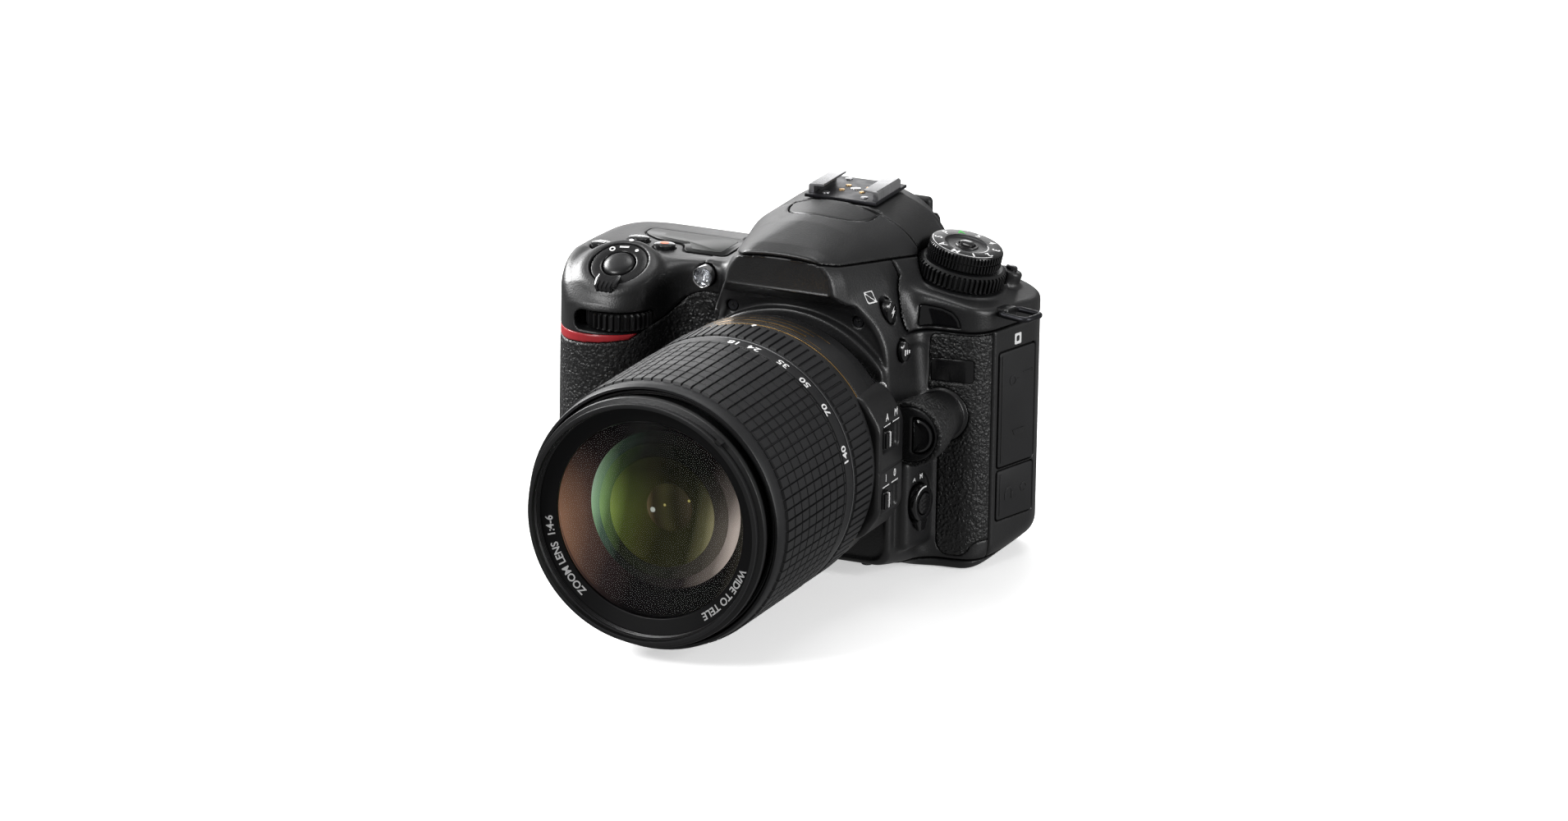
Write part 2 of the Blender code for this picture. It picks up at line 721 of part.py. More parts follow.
def cheek_button(name, centre, half_y, half_z):
    return name_piece(oval_button(centre, half_y, half_z, -1.8, 0.9), name, "plastic", centre)


def lens_release_button():
    cap = disc(5.1, RELEASE_BUTTON[1] - 0.3, RELEASE_BUTTON[1] + 3.0, RELEASE_BUTTON_AXIS, "y", 20)
    return name_piece(cap, "lens_release_button", "plastic", RELEASE_BUTTON)


def focus_mode_lever():
    ring = on_flank(tube(5.2, 3.5, -1.3, 1.6, SELECTOR_POINT, "x", 20))
    return name_piece(ring, "focus_mode_lever", "plastic", SELECTOR_POINT)


def focus_mode_button():
    cap = on_flank(disc(3.2, -1.3, 2.2, SELECTOR_POINT, "x", 16))
    return name_piece(cap, "focus_mode_button", "plastic", SELECTOR_POINT)


def multi_selector():
    pad = disc(8.0, REAR_FACE - 0.3, REAR_FACE + 1.6, SELECTOR_PAD_AXIS, "y", 24)
    x, _, z = SELECTOR_PAD_AXIS
    return name_piece(pad, "multi_selector", "rubber", (x, REAR_FACE, z))


def diopter_dial():
    knob = disc(3.6, 18.2, 20.6, DIOPTER_AXIS, "x", 16)
    return name_piece(knob, "diopter_dial", "plastic", (19.4, DIOPTER_AXIS[1], DIOPTER_AXIS[2]))


# ---------------------------------------------------------------- lens

def on_axis(profile, sides=ROUND):
    return turned(profile, (0, 0, AXIS_Z), "y", sides)


def body_mount_ring():
    ring = on_axis([(31.5, -45.6), (30.6, FLANGE_Y), (25.6, FLANGE_Y), (25.6, -42.05), (31.5, -42.05)])
    return name_piece(ring, "body_mount_ring", "steel")


def lens_mount():
    """The lens's metal bayonet with the plate that holds the rear element."""
    mount = on_axis([(33.0, -47.5), (33.0, -46.8), (25.0, -46.8), (25.0, -41.0), (23.6, -41.0),
                     (23.6, -46.6), (12.4, -46.6), (12.4, -47.5)])
    return name_piece(mount, "lens_mount", "steel")


def lens_barrel():
    """The fixed barrel: the rear shell with its switch panel, and the core the rings turn on."""
    barrel = on_axis([(34.4, -47.8), (36.6, -52.5), (BARREL_RADIUS, -60), (BARREL_RADIUS, -69.1),
                      (CORE_OUTER, -69.1), (CORE_OUTER, -134.6), (CORE_INNER, -134.6), (CORE_INNER, -60),
                      (24.5, -56), (24.5, -47.8)])
    panel = prism([(30, 63), (34.5, 61.5), (39.6, 54), (39.6, 27.5), (34.5, 20.5), (30, 19)],
                  -68.6, -51.0, "y")
    cut(panel, disc(33.0, -80, -40, (0, 0, AXIS_Z), "y", ROUND))
    join(barrel, panel)
    for z in SWITCH_HEIGHTS.values():
        cut(barrel, box(38.3, 60, -66.0, -55.0, z - 3.5, z + 3.5))
    return name_piece(barrel, "lens_barrel", "plastic")


def focus_ring():
    ring = on_axis([(FOCUS_RADIUS, -84.2), (FOCUS_RADIUS, -70.0), (38.5, FOCUS_REAR_Y),
                    (36.8, FOCUS_REAR_Y), (36.8, -84.5), (38.6, -84.5)])
    return name_piece(ring, "focus_ring", "rubber", (0, -77, AXIS_Z))


def zoom_ring():
    ring = on_axis([(38.0, ZOOM_FRONT_Y), (38.8, -128.6), (ZOOM_RADIUS, -128.2), (ZOOM_RADIUS, -88.6),
                    (ZOOM_RADIUS, ZOOM_REAR_Y), (36.9, ZOOM_REAR_Y), (36.9, -134.4), (37.3, ZOOM_FRONT_Y)])
    return name_piece(ring, "zoom_ring", "rubber", (0, -110, AXIS_Z))


def middle_tube():
    return name_piece(tube(MIDDLE_OUTER, MIDDLE_INNER, -133, -95, (0, 0, AXIS_Z), "y", ROUND),
                      "middle_tube", "plastic")


def front_barrel():
    """The extending barrel with the filter thread, the hood bayonet and the front cell."""
    barrel = on_axis([(FRONT_RING_RADIUS, LENS_FRONT_Y), (FRONT_RING_RADIUS, -141.4), (36.1, -141.0),
                      (36.1, -138.4), (FRONT_TUBE_OUTER, -137.4), (FRONT_TUBE_OUTER, -95), (33.4, -95),
                      (33.4, -128), (28.5, -130), (28.5, -134.0), (33.5, -139.5), (33.5, LENS_FRONT_Y)])
    return name_piece(barrel, "front_barrel", "plastic")


def front_element():
    glass = on_axis([(0, -137.8), (14, -136.8), (23, -134.6), (28.2, -132.4), (28.2, -130.3), (0, -130.3)])
    return name_piece(glass, "front_element", "glass")


def rear_element():
    glass = on_axis([(0, -50.5), (12.1, -49.5), (12.1, -46.0), (0, -45.2)], 20)
    return name_piece(glass, "rear_element", "glass")


def aperture_unit():
    return name_piece(tube(35.5, 8.0, -92, -88, (0, 0, AXIS_Z), "y", ROUND), "aperture_unit", "dark_metal")


def barrel_switch(name):
    z = SWITCH_HEIGHTS[name]
    knob = box(38.6, 40.6, -65.6, -60.6, z - 3.1, z + 3.1)
    return name_piece(knob, name, "plastic", (39.6, -63.1, z))


def build_body():
    form = body_form()
    front_cover(form)
    top_cover(form)
    rear_cover(form)
    bottom_cover(form)
    bpy.data.objects.remove(form, do_unlink=True)
    for make in (grip_rubber, front_panel_rubber, thumb_rest_rubber, eyecup, top_display_window,
                 af_assist_lamp, hot_shoe, tripod_socket, body_mount_ring, mirror_box, reflex_mirror,
                 focusing_screen, pentaprism, shutter_unit, image_sensor, main_board, battery,
                 battery_door, card_door, monitor_arm, monitor):
        make()
    port_door("port_door_upper", 28.9, 63.3)
    port_door("port_door_lower", 13.1, 27.9)
    strap_loop("strap_loop_right", (*side_point(0.26, 0.35), 75.0), math.atan2(-0.27, 0.963))
    strap_loop("strap_loop_left", (-73.9, 9.5, 72.0), math.radians(125))


def build_controls():
    for name in DECK_BUTTONS:
        deck_button(name)
    for name in REAR_BUTTONS:
        rear_button(name)
    for make in (shutter_button, power_switch, mode_dial, mode_dial_lock, release_dial, flash_head,
                 lens_release_button, focus_mode_lever, focus_mode_button, multi_selector, diopter_dial):
        make()
    cheek_button("flash_button", FLASH_BUTTON, 2.1, 3.3)
    cheek_button("bracket_button", BRACKET_BUTTON, 2.1, 2.9)
    knurled_dial("sub_command_dial", 10.2, 10.8, 24, 63.2, 68.2, FRONT_DIAL)
    knurled_dial("main_command_dial", 7.5, 8.0, 20, 64.6, 69.4, REAR_DIAL)


def build_lens():
    for make in (lens_mount, lens_barrel, focus_ring, zoom_ring, middle_tube, front_barrel, front_element,
                 rear_element, aperture_unit):
        make()
    for name in SWITCH_HEIGHTS:
        barrel_switch(name)


clear_scene()
build_body()
build_controls()
build_lens()
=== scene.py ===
"""Looks of the reflex camera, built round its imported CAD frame.

Lengths here are millimetres about the lens axis (x = 0), the sensor plane (y = 0) and the base (z = 0);
at() moves them into the frame, from the places of the CAD nodes.
"""
import math

import bmesh
import bpy
import numpy as np
from mathutils import Matrix, Vector


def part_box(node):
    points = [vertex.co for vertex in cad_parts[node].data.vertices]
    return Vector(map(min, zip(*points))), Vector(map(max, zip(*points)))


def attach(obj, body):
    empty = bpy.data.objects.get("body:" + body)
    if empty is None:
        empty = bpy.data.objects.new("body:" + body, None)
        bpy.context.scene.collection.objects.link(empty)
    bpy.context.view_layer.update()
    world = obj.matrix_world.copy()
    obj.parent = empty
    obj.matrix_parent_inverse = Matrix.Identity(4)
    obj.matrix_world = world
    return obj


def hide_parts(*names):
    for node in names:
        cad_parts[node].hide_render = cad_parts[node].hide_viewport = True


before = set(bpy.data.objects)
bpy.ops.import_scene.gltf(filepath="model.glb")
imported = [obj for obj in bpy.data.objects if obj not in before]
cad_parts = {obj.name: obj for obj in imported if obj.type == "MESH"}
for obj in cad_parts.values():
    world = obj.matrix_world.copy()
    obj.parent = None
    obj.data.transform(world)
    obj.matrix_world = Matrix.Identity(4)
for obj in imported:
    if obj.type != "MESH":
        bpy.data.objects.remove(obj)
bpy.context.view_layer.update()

MM = 0.001
LENS_LENGTH = 97.0
FLANGE_DISTANCE = 46.5
lens_low, lens_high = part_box("front_barrel")
AXIS_X = (lens_low.x + lens_high.x) / 2 / MM
SENSOR_Y = lens_low.y / MM + LENS_LENGTH + FLANGE_DISTANCE
AXIS_Z = 41.0
STEP = 0.45        # grid of the moulded shells


def at(x, y, z):
    return Vector(((x + AXIS_X) * MM, (y + SENSOR_Y) * MM, z * MM))


# ================================================================ moulded solids from distance fields

def smooth_max(a, b, radius):
    """Intersection of two fields with a rounded edge."""
    h = np.maximum(radius - np.abs(a - b), 0.0) / radius
    return np.maximum(a, b) + h * h * radius / 4


def smooth_min(a, b, radius):
    """Union of two fields with a filleted corner."""
    return -smooth_max(-a, -b, radius)


class Grid:
    """Sample points of a box in millimetres; fields are arrays over them, negative inside."""

    def __init__(self, low, high, step):
        self.low = np.array(low, float) - 2 * step
        self.step = step
        counts = np.ceil((np.array(high, float) + 2 * step - self.low) / step).astype(int) + 1
        axes = [(self.low[i] + np.arange(counts[i]) * step).astype(np.float32) for i in range(3)]
        self.x = axes[0][:, None, None]
        self.y = axes[1][None, :, None]
        self.z = axes[2][None, None, :]

    def full(self, value):
        shape = (self.x.shape[0], self.y.shape[1], self.z.shape[2])
        return np.broadcast_to(value, shape)


def surface(grid, field):
    """Points and quads of a field's zero surface: one point in each cell that it passes through."""
    field = np.array(grid.full(field), np.float32)
    for side in range(3):
        edge = [slice(None)] * 3
        for end in (0, -1):
            edge[side] = end
            field[tuple(edge)] = np.maximum(field[tuple(edge)], 0.5)
    inside = field < 0
    shape = np.array(field.shape) - 1
    corners = [(i, j, k) for i in (0, 1) for j in (0, 1) for k in (0, 1)]
    count = sum(inside[i:i + shape[0], j:j + shape[1], k:k + shape[2]].astype(np.int8) for i, j, k in corners)
    cells = np.argwhere((count > 0) & (count < 8))
    index = np.full(shape, -1, np.int64)
    index[tuple(cells.T)] = np.arange(len(cells))
    total = np.zeros((len(cells), 3))
    crossings = np.zeros(len(cells))
    for corner in corners:
        for side in range(3):
            if corner[side]:
                continue
            other = list(corner)
            other[side] = 1
            a = field[tuple((cells + corner).T)]
            b = field[tuple((cells + other).T)]
            crossed = (a < 0) != (b < 0)
            share = np.where(crossed, a / np.where(crossed, a - b, 1.0), 0.0)
            point = np.tile(np.array(corner, float), (len(cells), 1))
            point[:, side] += share
            total += point * crossed[:, None]
            crossings += crossed
    points = (cells + total / crossings[:, None]) * grid.step + grid.low
    quads = []
    for side in range(3):
        u, v = [(1, 2), (2, 0), (0, 1)][side]
        ahead = [slice(None)] * 3
        behind = [slice(None)] * 3
        ahead[side] = slice(1, None)
        behind[side] = slice(None, -1)
        for sign in (True, False):
            starts = inside[tuple(behind)] & ~inside[tuple(ahead)] if sign else \
                ~inside[tuple(behind)] & inside[tuple(ahead)]
            edges = np.argwhere(starts)
            edges = edges[(edges[:, u] > 0) & (edges[:, v] > 0)]
            ring = []
            for du, dv in ((0, 0), (-1, 0), (-1, -1), (0, -1)):
                cell = edges.copy()
                cell[:, u] += du
                cell[:, v] += dv
                ring.append(index[tuple(cell.T)])
            quad = np.stack(ring, 1)
            quads.append(quad if sign else quad[:, ::-1])
    return points, np.concatenate(quads)


def slope_at(grid, field, points):
    """The field's outward direction at points, which are the shading normals of the piece."""
    places = (points - grid.low) / grid.step
    top = np.array(field.shape) - 2

    def sample(shift):
        at_place = places + shift
        cell = np.clip(np.floor(at_place).astype(int), 0, top)
        share = np.clip(at_place - cell, 0.0, 1.0)
        total = np.zeros(len(points))
        for corner in np.ndindex(2, 2, 2):
            weight = np.abs(1 - np.array(corner) - share).prod(1)
            total += weight * field[tuple((cell + corner).T)]
        return total

    normals = np.stack([sample(axis * 0.8) - sample(axis * -0.8) for axis in np.eye(3)], 1)
    return normals / np.maximum(np.linalg.norm(normals, axis=1), 1e-9)[:, None]


def polygon_field(grid, outline, plane="xy"):
    """Distance to an outline, over the two coordinates that plane names."""
    px, py = {"xy": (grid.x, grid.y), "xz": (grid.x, grid.z), "yz": (grid.y, grid.z)}[plane]
    best = None
    inside = None
    count = len(outline)
    for i in range(count):
        ax, ay = outline[i]
        bx, by = outline[(i + 1) % count]
        ex, ey = bx - ax, by - ay
        wx, wy = px - ax, py - ay
        share = np.clip((wx * ex + wy * ey) / (ex * ex + ey * ey), 0, 1)
        square = (wx - ex * share) ** 2 + (wy - ey * share) ** 2
        best = square if best is None else np.minimum(best, square)
        crosses = ((ay > py) != (by > py)) & (px < ex * (py - ay) / (ey if ey else 1e-9) + ax)
        inside = crosses if inside is None else inside ^ crosses
    return np.where(inside, -1, 1) * np.sqrt(best)


def rounded(outline, amount, steps=5):
    """An outline whose corners are rounded by quadratic arcs that start amount from each corner."""
    result = []
    count = len(outline)
    for i in range(count):
        before, here, after = (Vector(outline[(i + k) % count]) for k in (-1, 0, 1))
        reach = min(amount, (before - here).length / 2.05, (after - here).length / 2.05)
        start = here + (before - here).normalized() * reach
        end = here + (after - here).normalized() * reach
        for k in range(steps + 1):
            t = k / steps
            result.append(tuple(start * (1 - t) ** 2 + here * 2 * t * (1 - t) + end * t * t))
    return result


def plane_field(grid, p, q, r, inner):
    """Distance to the plane through three points, negative on the side of the point inner."""
    p, q, r, inner = (Vector(v) for v in (p, q, r, inner))
    normal = (q - p).cross(r - p).normalized()
    if (inner - p).dot(normal) > 0:
        normal = -normal
    return (grid.x - p.x) * normal.x + (grid.y - p.y) * normal.y + (grid.z - p.z) * normal.z


def box_field(grid, x0, x1, y0, y1, z0, z1, radius=0.0):
    """Distance to a box whose edges are rounded to radius."""
    dx = np.abs(grid.x - (x0 + x1) / 2) - ((x1 - x0) / 2 - radius)
    dy = np.abs(grid.y - (y0 + y1) / 2) - ((y1 - y0) / 2 - radius)
    dz = np.abs(grid.z - (z0 + z1) / 2) - ((z1 - z0) / 2 - radius)
    outer = np.sqrt(np.maximum(dx, 0) ** 2 + np.maximum(dy, 0) ** 2 + np.maximum(dz, 0) ** 2)
    return outer + np.minimum(np.maximum(dx, np.maximum(dy, dz)), 0) - radius


def rod_field(grid, point, axis, radius, low, high, edge=0.3):
    """Distance to a round rod about an axis through a point, between two stations along it."""
    axis = Vector(axis).normalized()
    dx, dy, dz = grid.x - point[0], grid.y - point[1], grid.z - point[2]
    along = dx * axis.x + dy * axis.y + dz * axis.z
    radial = np.sqrt(np.maximum(dx * dx + dy * dy + dz * dz - along * along, 0)) - radius
    return smooth_max(radial, np.maximum(low - along, along - high), edge)


def ramp_between(values, stations, grid):
    """A quantity that changes along y, read off its values at stations."""
    return np.interp(grid.y, stations, values).astype(np.float32)


# ================================================================ the body's outer form

BODY_OUTLINE = [
    (-26, -23), (-40, -24.5), (-44.8, -28.5), (-47.6, -38.4), (-53.5, -44.6), (-62, -46.5), (-70, -43.5),
    (-75.5, -36.5), (-77.5, -27), (-77.3, -12), (-76, 3), (-72, 10.5), (-64, 13.5), (50, 13.5),
    (55.5, 10.5), (58, 3.4), (52, -18), (48, -22.5), (33, -24),
]
BODY_TOP = 81.5
REAR_FACE = 13.5
SPLIT_Y = -16.5
SPLIT_Z = 70.6
BASE_THICKNESS = 2.6
GAP = 0.22                                # half of the room between neighbouring covers
POCKET_EDGE = 0.4
FLASH_REAR = -9.9                         # the seam behind the flash head
HOOD_REAR = -10.2                         # the head's own rear edge
SHUTTER_POINT = (-58.9, -31.6, 79.6)
SHUTTER_AXIS = (0.0, -math.sin(math.radians(29)), math.cos(math.radians(29)))
DIAL_POINT = (36.4, -5.0, 82.0)
DIAL_AXIS = (math.sin(math.radians(12)), 0.0, math.cos(math.radians(12)))
LOCK_PIN_POINT = (47.2, 6.2, 81.0)
LOCK_PIN_AXIS = (0.3, 0.15, 1.0)
TOP_BUTTONS = {"exposure": (-69.5, -20.5), "iso": (-62.3, -10.4), "movie": (-52.7, -13.6)}
REAR_BUTTONS = {"menu": (50.6, 57.0), "playback": (50.6, 66.0)}
SUB_WHEEL = (-56.8, -35.0)
MAIN_WHEEL = (-62.0, 7.5)
PAD_CENTRE = (-43.5, 44.0)
FLASH_BUTTON = (27.6, -34.5, 77.9)
BRACKET_BUTTON = (32.0, -34.0, 66.5)
CHEEK_TURN = 17                           # degrees that the mount block's cheek faces forwards
SELECTOR_POINT = (36.4, -31.2, 21.3)
SELECTOR_TURN = 8                         # degrees that the focus selector faces forwards
RELEASE_LUMP = (39.0, 45.8)               # x and z of the lump round the lens release
LENS_RELEASE = (41.0, 45.7)
FOCUS_LAMP = (-35.0, 0.0, 77.6)
DIOPTER_POINT = (18.2, 15.0, 90.0)
TRIPOD_POINT = (0.0, -3.0, 0.0)
FRONT_SCREWS = [(-18.6, 75.5), (20.5, 75.7)]
SWITCH_HEIGHTS = {"focus": 49.4, "vibration": 31.4}
FLANK_START = Vector((52.0, -18.0))       # the sloping right side, seen from above
FLANK_RUN = Vector((6.0, 21.4))
SKIN_ROOM = 1.4                           # depth of the recess under a rubber skin
SEAM_BACK = 0.3                           # how far a skin ends before the seam
HUMP_STATIONS = [-51, -46, -30, -12, 10, 17.5]
HUMP = {
    "half_foot": [16.9, 19.5, 26, 30, 30, 24], "foot": [84.8, 81.5, 79, 79, 79, 79],
    "half_shoulder": [15.6, 18, 22, 25.5, 25.5, 21.5], "shoulder": [90.5, 90.5, 91.5, 93, 93, 92],
    "half_top": [11.5, 11.5, 12, 13, 14, 14], "top": [95, 96.4, 98.8, 100.6, 100.6, 99.4],
}
MOUNT_BEHIND = [(-27, 0), (36, 0), (36, 56), (32, 79), (24, 86), (-20, 86), (-26, 79), (-29, 71)]
MOUNT_FRONT = [(-24.5, 4), (31.5, 4), (32.4, 56), (26.6, 75), (22, 82), (-18, 82), (-21.5, 78), (-25, 71)]


def edge_field(grid, across, ax, az, bx, bz):
    """Distance over (across, z) to the line from a to b, positive to its right."""
    ex, ez = bx - ax, bz - az
    length = np.sqrt(ex * ex + ez * ez)
    return ((across - ax) * ez - (grid.z - az) * ex) / length


def hump_form(grid):
    """The prism housing: sections of a foot, a shoulder and a top, drawn through its stations."""
    s = {key: ramp_between(values, HUMP_STATIONS, grid) for key, values in HUMP.items()}
    across = np.sqrt(grid.x ** 2 + 0.4)
    side = edge_field(grid, across, s["half_foot"], s["foot"], s["half_shoulder"], s["shoulder"])
    slope = edge_field(grid, across, s["half_shoulder"], s["shoulder"], s["half_top"], s["top"])
    crown = s["top"] + 0.9 - grid.x ** 2 * 0.0065
    round_edge = ramp_between([1.8, 3.0, 6.0, 6.0], [-51, -42, -24, 18], grid)
    field = smooth_max(smooth_max(side, slope, round_edge), grid.z - crown, round_edge)
    field = smooth_max(field, -51.0 - grid.y, 1.2)
    field = smooth_max(field, grid.y - 17.5, 3.0)
    floor = s["foot"] - ramp_between([0.0, 0.0, 9.0, 9.0], [-51, -43.5, -37, 18], grid)
    return smooth_max(field, floor - grid.z, 0.8)


def name_plate(grid):
    """The shallow flat on the prism housing's nose; it carries no name here."""
    outline = rounded([(-17.3, 85.0), (-17.0, 90.2), (-15.0, 92.8), (-2.0, 94.3), (11.9, 93.5),
        (15.0, 89.8), (15.4, 85.2)], 0.7)
    return np.maximum(polygon_field(grid, outline, "xz"), grid.y + 50.5)


def mount_form(grid):
    """The block round the lens mount."""
    field = None
    count = len(MOUNT_BEHIND)
    for i in range(count):
        (ax, az), (bx, bz) = MOUNT_BEHIND[i], MOUNT_BEHIND[(i + 1) % count]
        cx, cz = MOUNT_FRONT[i]
        face = plane_field(grid, (ax, -20, az), (bx, -20, bz), (cx, -42, cz), (4, -30, 40))
        field = face if field is None else smooth_max(field, face, 5.0 if az > 50 or bz > 50 else 3.0)
    away = axis_distance(grid)
    block = smooth_max(field, -42.0 - grid.y, 1.5)
    recess = smooth_max(field + 1.8, grid.y + 41.2, 0.8)
    block = smooth_max(block, -recess, 1.2)
    platform = smooth_max(smooth_max(field + 0.3, away - 36.6, 0.6), -44.4 - grid.y, 0.9)
    return np.maximum(smooth_min(block, platform, 0.8), grid.y - 5.0)


def axis_distance(grid):
    return np.sqrt(grid.x ** 2 + (grid.z - AXIS_Z) ** 2)


def lump_distance(grid):
    return np.sqrt((grid.x - RELEASE_LUMP[0]) ** 2 + (grid.z - RELEASE_LUMP[1]) ** 2)


def body_form(grid):
    """The outside of the whole body before it is parted into covers."""
    block = polygon_field(grid, rounded(BODY_OUTLINE, 5.0))
    block = smooth_max(block, grid.z - BODY_TOP, 3.4)
    fall = polygon_field(grid, [(40, -20), (40, 82.6), (-23, 82.6), (-31, 79.3), (-39, 75.1), (-44.2, 70.8),
        (-47.2, 65), (-48.4, 58), (-48.4, -20)], "yz")
    block = smooth_max(block, np.where(grid.x < -36.0, fall, np.minimum(fall, -4.0)), 4.0)
    block = smooth_max(block, edge_field(grid, grid.x, 61.0, 74.9, 33.0, 81.9), 1.6)
    block = smooth_max(block, edge_field(grid, grid.x, 48.2, -1.0, 60.2, 9.6), 3.0)
    mesa = rod_field(grid, SHUTTER_POINT, SHUTTER_AXIS, 11.2, -7.0, 0.25, 2.2)
    block = smooth_min(block, mesa, 4.0)
    form = smooth_min(block, mount_form(grid), 5.0)
    form = smooth_min(form, hump_form(grid), 4.5)
    lump_radius = ramp_between([9.6, 9.3, 7.4, 6.6], [-45.2, -38, -27, -20], grid)
    lump = smooth_max(lump_distance(grid) - lump_radius, -45.2 - grid.y, 0.9)
    form = smooth_min(form, np.maximum(lump, grid.y + 20.0), 0.8)
    housing = polygon_field(grid, rounded([(27, -18), (27, -38.6), (35.5, -38.6), (37.8, -22), (37.8, -18)],
        2.4))
    housing = smooth_max(housing, np.maximum(7.6 - grid.z, grid.z - 35.8), 3.0)
    form = smooth_min(form, housing, 1.0)
    return smooth_max(form, -grid.z, 1.2)


def cheek_rod(grid, centre, half_y, half_z, low, high, degrees=CHEEK_TURN):
    """An oval well that faces right and a little forwards on the mount block's cheek."""
    turn = math.radians(degrees)
    dx, dy, dz = grid.x - centre[0], grid.y - centre[1], grid.z - centre[2]
    out = dx * math.cos(turn) - dy * math.sin(turn)
    back = dx * math.sin(turn) + dy * math.cos(turn)
    oval = (np.sqrt((back / half_y) ** 2 + (dz / half_z) ** 2) - 1) * min(half_y, half_z)
    return np.maximum(oval, np.maximum(low - out, out - high))


def side_band(grid, share_front, share_rear, inner, z0, z1):
    """A pocket in the sloping right side, between two shares of its way back."""
    along = FLANK_RUN.normalized()
    dx, dy = grid.x - FLANK_START.x, grid.y - FLANK_START.y
    way = (dx * along.x + dy * along.y) / FLANK_RUN.length
    out = dx * along.y - dy * along.x
    ends = np.maximum(share_front - way, way - share_rear) * FLANK_RUN.length
    heights = np.maximum(z0 - grid.z, grid.z - z1)
    return smooth_max(smooth_max(ends, heights, 1.2), inner - out, 0.2)


def grip_region(grid):
    """Where rubber covers the grip: under the smooth cap and up beside the focus lamp."""
    edge = polygon_field(grid, GRIP_EDGE, "xz")
    return np.maximum(edge, grid.y - SPLIT_Y + SEAM_BACK)


def panel_region(grid):
    """Where rubber covers the front beside the lens release."""
    field = polygon_field(grid, rounded([(35.4, 69.9), (62, 69.9), (62, 8.6), (49.2, 8.2), (46.8, 3.9),
        (40.4, 3.9), (38.3, 6.5), (38.3, 37), (35.4, 37)], 2.2), "xz")
    field = smooth_max(field, 8.0 - lump_distance(grid), 0.4)
    return np.maximum(field, grid.y - SPLIT_Y + SEAM_BACK)


GRIP_EDGE = rounded([(-90, 4.0), (-90, 58.3), (-72, 58.5), (-60, 59.6), (-50.6, 60.7), (-48.6, 62.8),
    (-45.6, 65), (-39.5, 71.6), (-36.0, 72.9), (-24.0, 72.9), (-24.0, 4.0)], 1.6)
STRIP_EDGE = [(-90, 58.3), (-72, 58.5), (-60, 59.6), (-51.0, 60.7), (-48.9, 62.5), (-60, 62.1), (-72, 61.6),
    (-90, 61.4)]


def cover_split(grid):
    """Positive in the top cover: over the seam and the grip's rubber, but not on the mount block's cheeks."""
    over_grip = np.minimum(np.minimum(-29.0 - grid.x, SPLIT_Y - grid.y), polygon_field(grid, GRIP_EDGE, "xz"))
    over_grip = np.minimum(over_grip, grid.z - 57.0)
    column = polygon_field(grid, [(-28.2, 50), (-28.2, 76), (-21, 92), (-15, 110), (17, 110), (23.4, 90),
        (26.4, 82), (30.9, 70.6), (30.9, 50)], "xz")
    column = np.maximum(column, grid.y + 23.0)
    return np.minimum(np.maximum(grid.z - SPLIT_Z, over_grip), column)


def body_cavity(grid):
    """The room inside the covers, with the light path to the front."""
    room = box_field(grid, -66, 48.5, -19, 10, 1.6, 76.0, 1.0)
    grip = polygon_field(grid, [(-50, 1), (-50, -38), (-55, -42), (-69, -40), (-72.5, -30), (-72.5, 1)])
    grip = np.maximum(grip, np.maximum(1.6 - grid.z, grid.z - 60.0))
    chamber = box_field(grid, -23, 23, -39.0, -10, 12, 72.5, 0.5)
    top = box_field(grid, -13, 13, -34, 10, 70, 86.0, 1.0)
    field = np.minimum(np.minimum(room, grip), np.minimum(chamber, top))
    mouth = rod_field(grid, (0, 0, AXIS_Z), (0, 1, 0), 26.3, -60, -30)
    ring = rod_field(grid, (0, 0, AXIS_Z), (0, 1, 0), 31.9, -60, -41.75)
    return np.minimum(field, np.minimum(mouth, ring))


def display_outline(inset):
    return rounded([(-64 + inset, 3 - inset), (-64 + inset, -2.6), (-57.5, -7 + inset),
        (-48.5, -8.5 + inset), (-46 + inset, -15 + inset), (-33 - inset, -15 + inset),
        (-33 - inset, 3 - inset)], 2.0)


def flash_plane(grid, shift):
    """Positive under the seam of the flash head, which arches over the name plate."""
    arch = shift + 1.7 * np.clip(1 - (grid.x / 16.0) ** 2, 0, 1) * np.clip((-40.0 - grid.y) / 9.0, 0, 1)
    return -edge_field(grid, grid.y, -8.2, 87.9 + arch, -60.0, 93.8 + arch)


def shoe_plate(grid):
    """The rounded plate before the accessory shoe, which stays when the flash rises."""
    return polygon_field(grid, rounded([(-13.2, 0), (-13.2, -15), (-10.5, -20.5), (-4, -24), (4, -24),
        (10.5, -20.5), (13.2, -15), (13.2, 0)], 5.0))


def dial_pocket(grid):
    return rod_field(grid, DIAL_POINT, DIAL_AXIS, 13.4, -0.6, 30)


def cut_from(field, *tools, edge=0.5):
    for tool in tools:
        field = smooth_max(field, -tool, edge)
    return field


# ================================================================ materials

